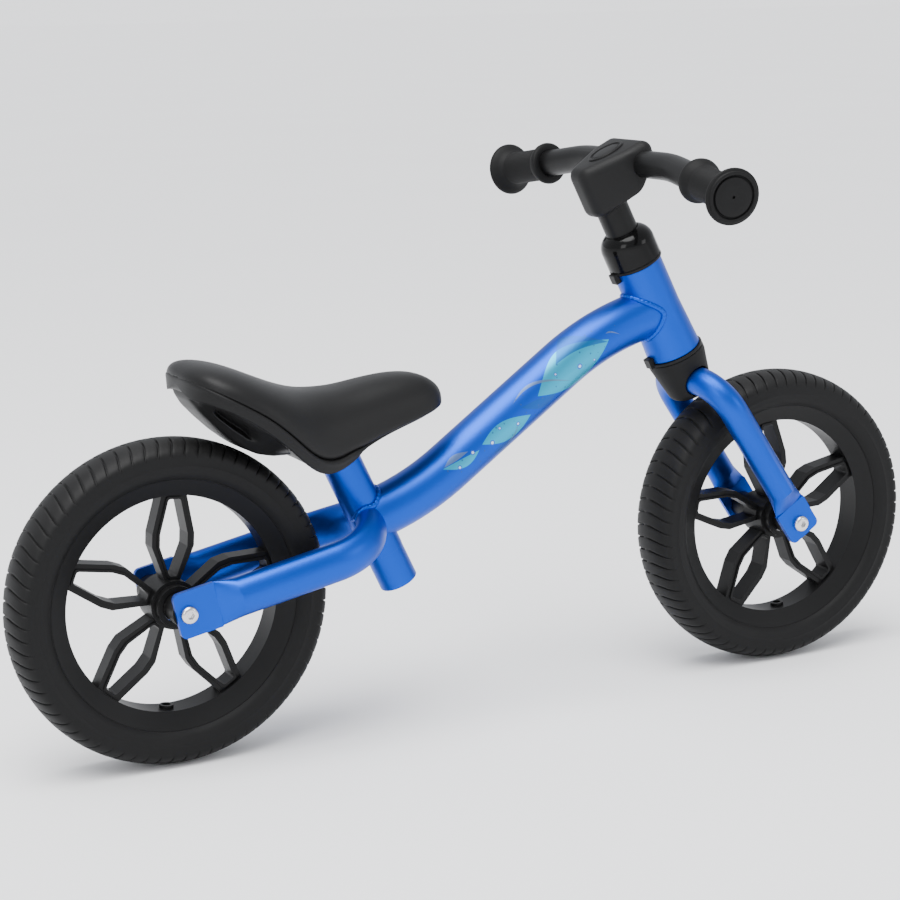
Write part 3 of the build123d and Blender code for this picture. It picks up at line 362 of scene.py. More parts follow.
# start, end, middle, slope, bend, width, colour, strength
swells = [
    (0.0220, 0.0560, 0.0060, -0.0080, -0.0035, 0.0038, turquoise, 0.85),
    (0.0240, 0.0480, 0.0085, -0.0030, 0.0015, 0.0024, sea_grey, 0.75),
    (0.0600, 0.1085, -0.0010, -0.0095, -0.0010, 0.0088, turquoise, 0.85),
    (0.0640, 0.0900, -0.0110, -0.0020, -0.0020, 0.0045, deep_blue, 0.55),
    (0.1215, 0.2000, 0.0000, -0.0050, 0.0010, 0.0160, turquoise, 0.85),
    (0.1040, 0.1370, -0.0010, -0.0120, -0.0030, 0.0046, deep_blue, 0.80),
    (0.1500, 0.1985, 0.0035, -0.0150, 0.0100, 0.0058, deep_blue, 0.80),
    (0.1000, 0.1560, 0.0000, -0.0210, 0.0110, 0.0013, sea_grey, 0.80),
    (0.0780, 0.0980, -0.0060, 0.0120, -0.0040, 0.0010, sea_grey, 0.70),
    (0.1600, 0.1790, 0.0215, 0.0020, 0.0030, 0.0011, sea_grey, 0.70),
    (0.2000, 0.2110, -0.0020, -0.0100, 0.0025, 0.0010, sea_grey, 0.70),
]
for start, end, middle, slope, bend, width, ink, strength in swells:
    mask = use_group(tree, swell, U=decal_u, V=decal_v, Start=start, End=end, Middle=middle,
                     Slope=slope, Bend=bend, Width=width)["Mask"]
    colour = mixed(tree, maths(tree, "MULTIPLY", mask, strength), colour, ink)

bubble_inputs = ("U", "V", "Along", "Up", "Radius")
bubble, took, gives = new_group(
    "bubble", [(label, "f") for label in bubble_inputs], [("Ring", "f"), ("Heart", "f")])
aside = maths(bubble, "SUBTRACT", took["U"], took["Along"])
above = maths(bubble, "SUBTRACT", took["V"], took["Up"])
away = maths(bubble, "SQRT", maths(bubble, "ADD", maths(bubble, "MULTIPLY", aside, aside),
                                   maths(bubble, "MULTIPLY", above, above)))
feed(bubble, gives["Ring"], maths(bubble, "LESS_THAN", away, took["Radius"]))
heart_r = maths(bubble, "MULTIPLY", took["Radius"], 0.55)
feed(bubble, gives["Heart"], maths(bubble, "LESS_THAN", away, heart_r))

plan = add_node(tree, "ShaderNodeCombineXYZ")
feed(tree, plan.inputs["X"], decal_u)
feed(tree, plan.inputs["Y"], decal_v)
specks = add_node(tree, "ShaderNodeTexVoronoi", voronoi_dimensions="2D")
feed(tree, specks.inputs["Vector"], plan.outputs["Vector"])
specks.inputs["Scale"].default_value = 150.0
film_start, film_end, film_half = 0.018, 0.213, 0.013
past_start = maths(tree, "GREATER_THAN", decal_u, film_start)
printed = maths(tree, "MULTIPLY", past_start, maths(tree, "LESS_THAN", decal_u, film_end))
in_height = maths(tree, "LESS_THAN", maths(tree, "ABSOLUTE", decal_v), film_half)
printed = maths(tree, "MULTIPLY", printed, in_height)
shade = add_node(tree, "ShaderNodeSeparateColor")
feed(tree, shade.inputs[0], specks.outputs["Color"])
chosen = maths(tree, "MULTIPLY", printed, maths(tree, "GREATER_THAN", shade.outputs["Red"], 0.62))
speck_r = maths(tree, "ADD", 0.05, maths(tree, "MULTIPLY", shade.outputs["Green"], 0.08))
speck = maths(tree, "MULTIPLY", chosen, maths(tree, "LESS_THAN", specks.outputs["Distance"], speck_r))
speck_ink, bubble_ink, bubble_white = (0.03, 0.08, 0.22, 1), (0.03, 0.09, 0.50, 1), (0.62, 0.74, 0.85, 1)
colour = mixed(tree, maths(tree, "MULTIPLY", speck, 0.7), colour, speck_ink)
for along, up, radius in ((0.034, 0.002, 0.0018), (0.050, 0.004, 0.0020), (0.068, -0.001, 0.0022),
                          (0.080, 0.004, 0.0015), (0.095, -0.004, 0.0018), (0.166, -0.003, 0.0024),
                          (0.145, 0.006, 0.0014), (0.180, -0.008, 0.0012)):
    drop = use_group(tree, bubble, U=decal_u, V=decal_v, Along=along, Up=up, Radius=radius)
    colour = mixed(tree, maths(tree, "MULTIPLY", drop["Ring"], 0.85), colour, bubble_ink)
    colour = mixed(tree, maths(tree, "MULTIPLY", drop["Heart"], 0.85), colour, bubble_white)
dusted(tree, surface, place, colour, 0.03)
settle(eased("main_tube", "painted_main_tube", tube_paint, 0.0008), "frame", "frame_paint", "main_tube")

# ------------------------------------------------------------------ Weld beads
# Each joint is closed by one pass of the torch, which leaves a low bead of ripples under the paint.
# The bead's line is where one tube's skin meets the next.
weld_tree = bpy.data.node_groups.new("weld_bead", "GeometryNodeTree")
weld_tree.interface.new_socket("Geometry", in_out="INPUT", socket_type="NodeSocketGeometry")
for label, kind in (("Bead radius", "NodeSocketFloat"), ("Ripple pitch", "NodeSocketFloat"),
                    ("Paint", "NodeSocketMaterial")):
    weld_tree.interface.new_socket(label, in_out="INPUT", socket_type=kind)
weld_tree.interface.new_socket("Geometry", in_out="OUTPUT", socket_type="NodeSocketGeometry")
took = add_node(weld_tree, "NodeGroupInput").outputs
finer = add_node(weld_tree, "GeometryNodeResampleCurve", mode="LENGTH")
feed(weld_tree, finer.inputs["Curve"], took["Geometry"])
feed(weld_tree, finer.inputs["Length"], maths(weld_tree, "DIVIDE", took["Ripple pitch"], 5.0))
walked = add_node(weld_tree, "GeometryNodeSplineParameter").outputs["Length"]
ripples = maths(weld_tree, "DIVIDE", walked, took["Ripple pitch"])
ripple = maths(weld_tree, "SINE", maths(weld_tree, "MULTIPLY", tau, ripples))
swelling = maths(weld_tree, "ADD", 1.0, maths(weld_tree, "MULTIPLY", ripple, 0.06))
ring = add_node(weld_tree, "GeometryNodeCurvePrimitiveCircle")
ring.inputs["Resolution"].default_value = 10
feed(weld_tree, ring.inputs["Radius"], took["Bead radius"])
swept = add_node(weld_tree, "GeometryNodeCurveToMesh")
feed(weld_tree, swept.inputs["Curve"], finer.outputs["Curve"])
feed(weld_tree, swept.inputs["Profile Curve"], ring.outputs["Curve"])
if "Scale" in swept.inputs:
    feed(weld_tree, swept.inputs["Scale"], swelling)
real = add_node(weld_tree, "GeometryNodeRealizeInstances")
feed(weld_tree, real.inputs["Geometry"], swept.outputs["Mesh"])
inked = add_node(weld_tree, "GeometryNodeSetMaterial")
feed(weld_tree, inked.inputs["Geometry"], real.outputs["Geometry"])
feed(weld_tree, inked.inputs["Material"], took["Paint"])
feed(weld_tree, add_node(weld_tree, "NodeGroupOutput").inputs["Geometry"], inked.outputs["Geometry"])


def run_tree(piece, tree, **values):
    """Run a geometry tree on a piece, with its inputs set by name, and keep what it makes."""
    maker = piece.modifiers.new(tree.name, "NODES")
    maker.node_group = tree
    for item in tree.interface.items_tree:
        label = item.name.replace(" ", "_")
        if item.in_out == "INPUT" and label in values:
            maker[item.identifier] = values[label]
    ready = bpy.data.meshes.new_from_object(piece.evaluated_get(bpy.context.evaluated_depsgraph_get()))
    name = piece.name
    bpy.data.objects.remove(piece)
    ready.shade_smooth()
    made = bpy.data.objects.new(name, ready)
    bpy.context.scene.collection.objects.link(made)
    return made


def skin_tree(*nodes):
    """The surfaces of some CAD nodes, to cast lines onto."""
    points, faces = [], []
    for node in nodes:
        shift = len(points)
        points += [vertex.co.copy() for vertex in cad[node].data.vertices]
        faces += [tuple(index + shift for index in face.vertices) for face in cad[node].data.polygons]
    return BVHTree.FromPolygons(points, faces)


weld_steps, weld_flow, bead_radius, ripple_pitch = 120, 14, 0.0024, 0.0034


def weld(name, start, direction, radius, targets, body):
    """Bead round a tube, where lines along its skin first meet the target nodes, with its corners eased."""
    skins = skin_tree(*targets)
    across = direction.orthogonal().normalized()
    upward = direction.cross(across)
    loop = []
    for step in range(weld_steps):
        angle = tau * step / weld_steps
        origin = start + (across * cos(angle) + upward * sin(angle)) * radius
        hit = skins.ray_cast(origin, direction, 0.2)[0]
        if hit is not None:
            loop.append(hit)
    for flow in range(weld_flow):
        loop = [(loop[k - 1] + loop[k] * 2 + loop[(k + 1) % len(loop)]) / 4 for k in range(len(loop))]
    line = bpy.data.curves.new(name, "CURVE")
    line.dimensions = "3D"
    spline = line.splines.new("POLY")
    spline.points.add(len(loop) - 1)
    for point, spot in zip(spline.points, loop):
        point.co = (*spot, 1.0)
    spline.use_cyclic_u = True
    drawn = bpy.data.objects.new(name, line)
    bpy.context.scene.collection.objects.link(drawn)
    made = run_tree(drawn, weld_tree, Bead_radius=bead_radius, Ripple_pitch=ripple_pitch, Paint=frame_paint)
    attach(made, body)
    return made


steer_foot = Vector(joints["steer"]["pos_m"])
steer_up = Vector(joints["steer"]["axis"])
steer_ahead = Vector((steer_up.z, 0.0, -steer_up.x))
seat_up = Vector(joints["saddle_height"]["axis"])
seat_low, seat_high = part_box("seat_tube")
seat_tube_r = (seat_high.y - seat_low.y) / 2
seat_top = Vector((seat_low.x + seat_tube_r * seat_up.z, 0.0, seat_high.z - seat_tube_r * -seat_up.x))
head_run = Vector((0.956, 0.0, 0.293))
main_tube_r = 0.0205
main_tube_behind_head = steer_foot + Vector((-0.0804, 0.0, 0.0173))
weld("head_tube_weld", main_tube_behind_head, head_run, main_tube_r + 0.0003, ["head_tube"], "frame")
cluster = ["main_tube", "chain_stay_left", "chain_stay_right"]
weld("seat_tube_upper_weld", seat_top, -seat_up, seat_tube_r + 0.0004, cluster, "frame")

# ------------------------------------------------------------------ Headset
# Black moulded cups hook over the head tube's ends. A soft boot hides the fork crown below,
# and a polished dome covers the locknut above.


def moulded(name, tone, smooth, rough, scale, relief, dust=0.01):
    """Black moulded plastic, foam or rubber: its tone, roughness range, grain scale and depth of grain."""
    made, tree, surface, place = new_material(name, specular=0.15)
    skin = use_group(tree, grain, Place=place, Scale=scale, Smooth=smooth, Rough=rough)
    darker = (tone * 0.50, tone * 0.50, tone * 0.51, 1)
    lighter = (tone * 0.75, tone * 0.75, tone * 0.77, 1)
    colour = mixed(tree, skin["Mottle"], darker, lighter)
    dusted(tree, surface, place, colour, dust)
    feed(tree, surface.inputs["Roughness"], skin["Roughness"])
    bump(tree, surface, skin["Height"], 0.35, relief)
    return made


satin_plastic = moulded("satin_black_plastic", 0.0075, 0.34, 0.50, 1500.0, 0.00008)
boot_rubber = moulded("boot_rubber", 0.0085, 0.50, 0.68, 1100.0, 0.00012)
gloss_plastic = moulded("polished_black_plastic", 0.0040, 0.08, 0.16, 900.0, 0.00001)
for node, material, edge, body, slot in (("lower_cup", satin_plastic, 0.0007, "frame", "black_plastic"),
                                         ("upper_cup", satin_plastic, 0.0007, "frame", "black_plastic"),
                                         ("crown_boot", boot_rubber, 0.0008, "fork", "black_plastic"),
                                         ("headset_dome", gloss_plastic, 0.0008, "fork", "gloss_plastic")):
    settle(eased(node, "moulded_" + node, material, edge), body, slot, node)

# ------------------------------------------------------------------ Steel parts
# Axles, bearings, bolts, nut and posts are bright zinc or stainless steel with fine turning marks.
bright_steel, tree, surface, place = new_material("bright_steel", metallic=1.0)
turning = use_group(tree, grain, Place=place, Scale=1800.0, Smooth=0.14, Rough=0.30)
steel_dull, steel_bright = (0.56, 0.56, 0.57, 1), (0.70, 0.70, 0.71, 1)
feed(tree, surface.inputs["Base Color"], mixed(tree, turning["Mottle"], steel_dull, steel_bright))
feed(tree, surface.inputs["Roughness"], turning["Roughness"])
bump(tree, surface, turning["Height"], 0.15, 0.00003)
for node in ("steerer_tube", "headset_nut", "crown_race", "stem_wedge", "stem_bolt", "lower_bearing",
             "upper_bearing", "seat_post", "post_plate", "saddle_screws", "seat_clamp_bolt"):
    clothe(cad[node], bright_steel)
for end, body in (("rear", "frame"), ("front", "fork")):
    for part in ("_axle", "_axle_sleeve", "_wheel_bearings"):
        clothe(cad[end + part], bright_steel)
    bolts = eased(end + "_axle_bolts", end + "_bright_bolts", bright_steel, 0.0003)
    settle(bolts, body, "steel", end + "_axle_bolts")

# ------------------------------------------------------------------ Stem and handlebar
# A black painted tube bent back at both ends, held by a clamp on the stem. Satin paint over steel.
bar_paint = moulded("satin_black_paint", 0.0070, 0.30, 0.42, 1300.0, 0.00004)
for node in ("stem_tube", "stem_head", "handlebar"):
    settle(eased(node, "painted_" + node, bar_paint, 0.0005), "handlebar", "black_paint", node)
clothe(cad["seat_clamp"], bar_paint)

# ------------------------------------------------------------------ Grips
# Soft rubber sleeves pushed on to the bar's ends: a flange each side of the hand, fine rings between them,
# and a closed outer end with a moulded ring and a small air hole.
grip_rubber = moulded("grip_rubber", 0.0075, 0.52, 0.66, 1600.0, 0.00010)


def smooth_step(value):
    """0 to 1 with soft ends."""
    value = min(max(value, 0.0), 1.0)
    return value * value * (3 - 2 * value)


def ringed(rows, width):
    """Faces of a skin whose points come in closed rows, all of one width."""
    return [(row * width + k, row * width + (k + 1) % width, (row + 1) * width + (k + 1) % width,
             (row + 1) * width + k) for row in range(rows - 1) for k in range(width)]


# radius, distance out from the bar's end
grip_end = [(0.0, 0.0004), (0.0010, 0.0004), (0.0012, 0.0023), (0.0080, 0.0025), (0.0146, 0.0025),
            (0.0151, 0.0022), (0.0153, 0.0002), (0.0155, 0.0), (0.0167, 0.0), (0.0169, 0.0002),
            (0.0170, 0.0021), (0.0174, 0.0026), (0.0193, 0.0027), (0.0197, 0.0024), (0.0198, 0.0013),
            (0.0201, 0.0010), (0.0213, 0.0009), (0.0219, 0.0003), (0.0220, -0.0006), (0.0219, -0.0014)]
grip_neck = [(0.0212, -0.0026), (0.0196, -0.0040), (0.0176, -0.0052), (0.0158, -0.0066), (0.0146, -0.0082)]
grip_flange = [(0.0142, -0.0497), (0.0152, -0.0516), (0.0166, -0.0534), (0.0174, -0.0550), (0.0177, -0.0570),
               (0.0174, -0.0588), (0.0164, -0.0598), (0.0138, -0.0600), (0.0113, -0.0596)]
hand_r, hand_start, hand_length, ring_count, ring_depth = 0.0138, -0.0090, 0.0395, 26, 0.00030


def grip_outline():
    """Half outline from the air hole over the end disc, along the hand part, to the inner flange's lip."""
    hand = []
    for index in range(ring_count * 4 + 1):
        run = hand_start - (hand_length * index) / (ring_count * 4)
        groove = ring_depth if index % 4 == 2 else 0.0
        hand.append((hand_r - groove, run))
    return grip_end + grip_neck + hand + grip_flange


bar_middle = steer_foot + steer_ahead * 0.0287 + steer_up * 0.1627
turns = 56
for side, name in ((1, "left"), (-1, "right")):
    out = Vector((-0.0141, side * 0.107, -0.0151)).normalized()
    end = bar_middle + Vector((-0.0141, side * 0.175, -0.0151))
    across = out.cross(Vector((0, 0, 1))).normalized()
    upward = across.cross(out)
    outline = grip_outline()
    points = [end + out * run + (across * cos(tau * k / turns) + upward * sin(tau * k / turns)) * reach
              for reach, run in outline for k in range(turns)]
    grip = from_mesh("rubber_grip_" + name, points, ringed(len(outline), turns), grip_rubber, 50)
    settle(grip, "handlebar", "grip_rubber", "grip_" + name)

# ------------------------------------------------------------------ Stem pad
# A moulded foam block that hides the clamp: narrow behind, wide in front, with soft edges.
# A plain oval badge sits in a shallow ring on its top face.
pad_foam = moulded("pad_foam_skin", 0.0110, 0.42, 0.56, 1200.0, 0.00010)
pad_back, pad_front, pad_top, pad_foot = -0.0205, 0.0425, 0.180, 0.135
pad_back_half, pad_front_half, pad_rise, pad_rise_start = 0.0120, 0.0300, 0.026, 0.0136
plan = [(pad_back, -pad_back_half), (pad_front * 0.45, -pad_front_half), (pad_front, -pad_front_half),
        (pad_front, pad_front_half), (pad_front * 0.45, pad_front_half), (pad_back, pad_back_half)]


def pad_spot(forward, sideways, height):
    """A point of the stem pad, measured from the head tube's foot along the steering axis."""
    return steer_foot + steer_ahead * forward + Vector((0, sideways, 0)) + steer_up * height


def pad_floor(forward):
    """Height of the pad's underside, which climbs ahead of the stem."""
    share = (forward - pad_rise_start) / (pad_front - pad_rise_start)
    return pad_foot + pad_rise * min(max(share, 0.0), 1.0)


count = len(plan)
points = [pad_spot(x, y, pad_floor(x)) for x, y in plan] + [pad_spot(x, y, pad_top) for x, y in plan]
faces = [tuple(reversed(range(count))), tuple(range(count, 2 * count))]
faces += [(k, (k + 1) % count, count + (k + 1) % count, count + k) for k in range(count)]
pad_block = from_mesh("foam_stem_pad", points, faces, pad_foam, 180)
rounding = pad_block.modifiers.new("rounding", "BEVEL")
rounding.width = 0.0085
rounding.segments = 7
rounding.limit_method = "ANGLE"
rounding.angle_limit = radians(20)
baked(pad_block)
pad_block.data.shade_smooth()
settle(pad_block, "handlebar", "pad_foam", "stem_pad")

badge_middle = (pad_back + pad_front) / 2 + 0.004
badge_long, badge_wide, turns = 0.0150, 0.0110, 64
# share of the oval, height above the pad's top face
badge_outline = [(1.10, -0.0006), (1.10, 0.0004), (1.06, 0.0011), (1.00, 0.0013), (0.94, 0.0011),
                 (0.90, 0.0003), (0.86, 0.0001), (0.80, 0.0003), (0.76, 0.0008), (0.60, 0.0011),
                 (0.30, 0.0012), (0.0, 0.0012)]
points = [pad_spot(badge_middle + badge_long * share * cos(tau * k / turns),
                   badge_wide * share * sin(tau * k / turns), pad_top + height)
          for share, height in badge_outline for k in range(turns)]
badge = from_mesh("oval_badge", points, ringed(len(badge_outline), turns), satin_plastic, 30)
settle(badge, "handlebar", "gloss_plastic", "pad_badge")

# ------------------------------------------------------------------ Tyres
# One-piece foam tyres, airless. The mould leaves a smooth sidewall with a raised line, and a tread of
# narrow curved grooves from each shoulder to a plain line round the middle.
tyre_foam = moulded("tyre_foam_skin", 0.0075, 0.46, 0.62, 900.0, 0.00016, dust=0.03)
tread_pitch = 72
groove_depth = 0.0016
wheel_r = joints["rear_spin"]["pos_m"][2]
# half width, radius: bead, sidewall, shoulder, then the crown's arc
tyre_half, shoulder_r = 0.0246, 0.1160
sidewall = [(0.0170, 0.0940), (0.0170, 0.0978), (0.0199, 0.0982), (0.0206, 0.0990), (0.0216, 0.1000),
            (0.0226, 0.1014), (0.0235, 0.1032), (0.0241, 0.1055), (0.0244, 0.1080), (0.0246, 0.1084),
            (0.0246, 0.1090), (0.0244, 0.1094), (0.0245, 0.1120), (0.0245, 0.1145), (tyre_half, shoulder_r)]
crown_steps = [radians(90) * k / 15 for k in range(1, 16)]
crown = [(tyre_half * cos(t), shoulder_r + (wheel_r - shoulder_r) * sin(t)) for t in crown_steps]
half_outline = sidewall + crown
tyre_outline = [(-y, r) for y, r in half_outline] + [(y, r) for y, r in reversed(half_outline[:-1])]
# share of one tread pitch, depth share
columns = [(0.0, 0.0), (0.22, 0.0), (0.36, 0.0), (0.42, 0.15), (0.46, 1.0), (0.54, 1.0), (0.58, 0.15),
           (0.64, 0.0), (0.82, 0.0)]


def tread_depth(y, r):
    """How deep the grooves are at this place across the tyre."""
    shoulder = smooth_step((r - 0.1105) / 0.0035)
    middle_line = smooth_step((abs(y) - 0.0022) / 0.0012)
    return groove_depth * shoulder * middle_line


def tread_sweep(y):
    """How far a groove leans round the wheel, in pitches: it curves back towards the shoulder."""
    share = min(abs(y) / tyre_half, 1.0)
    return 0.55 * share * share


def tyre_segment():
    """One tread pitch of the tyre, about the axle line through the origin."""
    rows = len(tyre_outline)
    points, faces = [], []
    for share, depth in columns + [(1.0, 0.0)]:
        for y, r in tyre_outline:
            angle = tau / tread_pitch * (share + tread_sweep(y))
            reach = r - tread_depth(y, r) * depth
            points.append((reach * cos(angle), y, reach * sin(angle)))
    for column in range(len(columns)):
        for row in range(rows):
            after = (row + 1) % rows
            faces.append((column * rows + row, column * rows + after, (column + 1) * rows + after,
                          (column + 1) * rows + row))
    return points, faces


around = bpy.data.node_groups.new("repeat_round_axle", "GeometryNodeTree")
around.interface.new_socket("Geometry", in_out="INPUT", socket_type="NodeSocketGeometry")
for label, kind in (("Count", "NodeSocketInt"), ("Axle", "NodeSocketVector"), ("Skin", "NodeSocketMaterial")):
    around.interface.new_socket(label, in_out="INPUT", socket_type=kind)
around.interface.new_socket("Geometry", in_out="OUTPUT", socket_type="NodeSocketGeometry")
took = add_node(around, "NodeGroupInput").outputs
spots = add_node(around, "GeometryNodeMeshLine")
feed(around, spots.inputs["Count"], took["Count"])
spots.inputs["Offset"].default_value = (0, 0, 0)
turned = add_node(around, "ShaderNodeCombineXYZ")
place_in_row = add_node(around, "GeometryNodeInputIndex").outputs[0]
whole_turns = maths(around, "MULTIPLY", place_in_row, -tau)
feed(around, turned.inputs["Y"], maths(around, "DIVIDE", whole_turns, took["Count"]))
copies = add_node(around, "GeometryNodeInstanceOnPoints")
feed(around, copies.inputs["Points"], spots.outputs["Mesh"])
feed(around, copies.inputs["Instance"], took["Geometry"])
feed(around, copies.inputs["Rotation"], turned.outputs["Vector"])
real = add_node(around, "GeometryNodeRealizeInstances")
feed(around, real.inputs["Geometry"], copies.outputs["Instances"])
joined = add_node(around, "GeometryNodeMergeByDistance")
feed(around, joined.inputs["Geometry"], real.outputs["Geometry"])
joined.inputs["Distance"].default_value = 2e-6
moved = add_node(around, "GeometryNodeSetPosition")
feed(around, moved.inputs["Geometry"], joined.outputs["Geometry"])
feed(around, moved.inputs["Offset"], took["Axle"])
inked = add_node(around, "GeometryNodeSetMaterial")
feed(around, inked.inputs["Geometry"], moved.outputs["Geometry"])
feed(around, inked.inputs["Material"], took["Skin"])
feed(around, add_node(around, "NodeGroupOutput").inputs["Geometry"], inked.outputs["Geometry"])

for end in ("rear", "front"):
    axle = Vector(joints[end + "_spin"]["pos_m"])
    points, faces = tyre_segment()
    segment = from_mesh(end + "_foam_tyre", points, faces, tyre_foam, 180)
    tyre = run_tree(segment, around, Count=tread_pitch, Axle=axle, Skin=tyre_foam)
    work = bmesh.new()
    work.from_mesh(tyre.data)
    bmesh.ops.recalc_face_normals(work, faces=work.faces)
    work.to_mesh(tyre.data)
    work.free()
    tyre.data.shade_smooth()
    tyre.data.set_sharp_from_angle(angle=radians(38))
    settle(tyre, end + "_wheel", "tyre_foam", end + "_tyre")

# ------------------------------------------------------------------ Rims
# Injection-moulded wheels: five looped spokes with a raised lip round each opening, a hub and a valve boss
# that the mould shares with air-filled wheels.
for end, body in (("rear", "frame"), ("front", "fork")):
    wheel = end + "_wheel"
    for node, name, edge, edge_angle, rides in (("_rim", "_moulded_rim", 0.0006, 35, wheel),
                                                ("_hub_caps", "_moulded_hub_caps", 0.0003, 40, wheel),
                                                ("_axle_spacers", "_moulded_spacers", 0.0004, 40, body)):
        piece = eased(end + node, end + name, satin_plastic, edge, edge_angle)
        settle(piece, rides, "black_plastic", end + node)

# ------------------------------------------------------------------ Saddle
# A foam pad with a moulded skin, wide behind and narrow in front, on a plastic base. The base shows as a
# band with a raised lip below the pad's seam, and as a deep keel behind the post with a hand hold pressed in.
saddle_skin = moulded("saddle_skin", 0.0120, 0.36, 0.50, 1300.0, 0.00022)
base_plastic = moulded("saddle_base_plastic", 0.0110, 0.40, 0.54, 1500.0, 0.00010)
post_head = Vector((-0.1471, 0.0, 0.2570))
# pad: distance ahead of the post's head, half width, seam height and crown height above it
pad_ribs = [
    (-0.1160, 0.0120, 0.0405, 0.0430), (-0.1140, 0.0280, 0.0395, 0.0480),
    (-0.1070, 0.0440, 0.0370, 0.0520), (-0.0950, 0.0545, 0.0300, 0.0520),
    (-0.0780, 0.0595, 0.0200, 0.0480), (-0.0600, 0.0610, 0.0085, 0.0400),
    (-0.0420, 0.0590, -0.0080, 0.0320), (-0.0280, 0.0545, -0.0215, 0.0268),
    (-0.0150, 0.0500, -0.0285, 0.0236), (-0.0020, 0.0460, -0.0290, 0.0228),
    (0.0120, 0.0425, -0.0240, 0.0228), (0.0240, 0.0395, -0.0210, 0.0242),
    (0.0420, 0.0360, -0.0150, 0.0272), (0.0620, 0.0330, -0.0095, 0.0292),
    (0.0800, 0.0300, -0.0050, 0.0282), (0.0920, 0.0250, -0.0010, 0.0235),
    (0.0990, 0.0180, 0.0020, 0.0175), (0.1020, 0.0080, 0.0060, 0.0125),
]
rib_steps = 20


def pad_rib(reach, half, seam, crown_height):
    """One rib of the pad, from the right seam over the crown to the left seam, then back underneath."""
    over = []
    for step in range(rib_steps + 1):
        angle = pi * step / rib_steps
        sideways = -cos(angle)
        over_y = half * (abs(sideways) ** 0.74) * (1 if sideways > 0 else -1)
        over_z = seam + (crown_height - seam) * max(sin(angle), 0.0) ** 0.80
        over.append(post_head + Vector((reach, over_y, over_z)))
    under = []
    for step in range(1, 6):
        share = 1 - step / 3.0
        under.append(post_head + Vector((reach, half * 0.90 * share, seam + 0.0040)))
    return over + under


def skinned(name, ribs, material):
    """A closed, smooth piece over a row of ribs."""
    width = len(ribs[0])
    points = [spot for rib in ribs for spot in rib]
    faces = ringed(len(ribs), width)
    faces += [tuple(range(width)), tuple(range((len(ribs) - 1) * width, len(ribs) * width))]
    piece = from_mesh(name, points, faces, material, 180)
    finer = piece.modifiers.new("finer", "SUBSURF")
    finer.levels = finer.render_levels = 2
    baked(piece)
    piece.data.shade_smooth()
    return piece


seat = skinned("saddle_cushion", [pad_rib(*rib) for rib in pad_ribs], saddle_skin)
settle(seat, "saddle", "saddle_skin", "saddle_pad")

# band: distance ahead, half width, seam height, band's lower edge
band_ribs = [
    (-0.1165, 0.0150, 0.0402, 0.0310), (-0.1140, 0.0300, 0.0392, 0.0280),
    (-0.1070, 0.0450, 0.0366, 0.0262), (-0.0945, 0.0555, 0.0298, 0.0215),
    (-0.0780, 0.0603, 0.0200, 0.0120), (-0.0600, 0.0617, 0.0087, -0.0010),
    (-0.0420, 0.0597, -0.0078, -0.0175), (-0.0280, 0.0552, -0.0213, -0.0310),
    (-0.0150, 0.0506, -0.0284, -0.0372), (-0.0020, 0.0465, -0.0290, -0.0362),
    (0.0080, 0.0437, -0.0252, -0.0320), (0.0160, 0.0412, -0.0232, -0.0278),
    (0.0215, 0.0382, -0.0215, -0.0226), (0.0270, 0.0345, -0.0198, -0.0206),
    (0.0450, 0.0310, -0.0130, -0.0140), (0.0650, 0.0280, -0.0075, -0.0085),
    (0.0820, 0.0245, -0.0030, -0.0040), (0.0920, 0.0190, 0.0010, 0.0000),
    (0.0965, 0.0120, 0.0040, 0.0030),
]


def band_rib(reach, half, seam, foot):
    """One rib of the base's band: a lip at the seam, the band's face, and the base's underside."""
    drop = seam - foot
    profile = [(0.975, seam + 0.0022), (1.000, seam + 0.0018), (1.014, seam + 0.0004), (1.008, seam - 0.0010),
               (0.985, seam - 0.0026 if drop > 0.003 else seam - drop * 0.8), (0.975, seam - drop * 0.6),
               (0.955, foot + drop * 0.08), (0.93, foot), (0.86, foot + 0.0006), (0.55, foot + 0.0030)]
    right = [post_head + Vector((reach, -half * share, height)) for share, height in profile]
    left = [Vector((spot.x, -spot.y, spot.z)) for spot in reversed(right)]
    inner = [post_head + Vector((reach, half * share, seam + 0.0030))
             for share in (0.9, 0.45, 0.0, -0.45, -0.9)]
    return right + left + inner


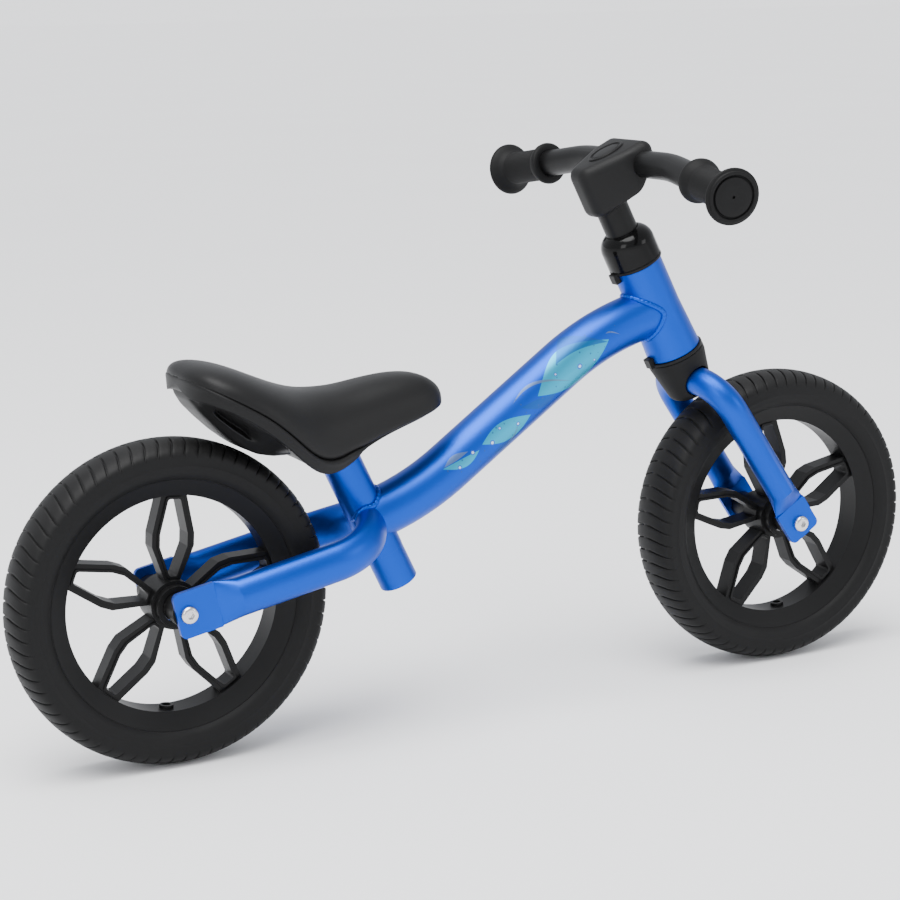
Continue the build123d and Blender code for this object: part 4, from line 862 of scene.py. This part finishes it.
base = skinned("saddle_base_band", [band_rib(*rib) for rib in band_ribs], base_plastic)
settle(base, "saddle", "black_plastic", "saddle_base")

# keel: distance ahead, half width at its foot, foot height, half width and height where it meets the band
keel_ribs = [
    (-0.1130, 0.0180, 0.0270, 0.0340, 0.0360), (-0.1060, 0.0240, 0.0170, 0.0430, 0.0330),
    (-0.0960, 0.0270, 0.0065, 0.0500, 0.0270), (-0.0840, 0.0280, -0.0050, 0.0540, 0.0200),
    (-0.0720, 0.0285, -0.0145, 0.0560, 0.0120), (-0.0600, 0.0290, -0.0205, 0.0560, 0.0030),
    (-0.0480, 0.0285, -0.0232, 0.0550, -0.0060), (-0.0360, 0.0270, -0.0238, 0.0520, -0.0160),
    (-0.0240, 0.0250, -0.0235, 0.0480, -0.0200),
]
hold_from, hold_to, hold_ease, hold_press, hold_lift = -0.0985, -0.0680, 0.004, 0.0120, 0.0020
# share of the wall's height, share of the hold's depth
wall_steps = ((0.16, 0.0), (0.26, 0.0), (0.32, 1.0), (0.52, 1.0), (0.60, 0.0), (0.78, 0.0), (1.0, 0.0))


def keel_rib(reach, half, foot, roof_half, roof):
    """One rib of the keel: up the right wall, pressed in at the hand hold, and down the left wall."""
    press = smooth_step(min(reach - hold_from, hold_to - reach) / hold_ease)
    profile = [(half * 0.5, foot), (half * 0.88, foot + 0.0008), (half, foot + 0.0040)]
    for share, depth in wall_steps:
        wide = half + (roof_half - half) * share
        tall = foot + 0.0040 + (roof - foot - 0.0040) * share
        profile.append((wide - hold_press * press * depth, tall + hold_lift * press * depth))
    right = [post_head + Vector((reach, -wide, tall)) for wide, tall in profile]
    left = [Vector((spot.x, -spot.y, spot.z)) for spot in reversed(right)]
    return right + left


finer_ribs = []
for first, second in zip(keel_ribs, keel_ribs[1:]):
    for step in range(4):
        finer_ribs.append([a + (b - a) * step / 4 for a, b in zip(first, second)])
keel = skinned("saddle_keel", [keel_rib(*rib) for rib in finer_ribs + [keel_ribs[-1]]], base_plastic)
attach(keel, "saddle")
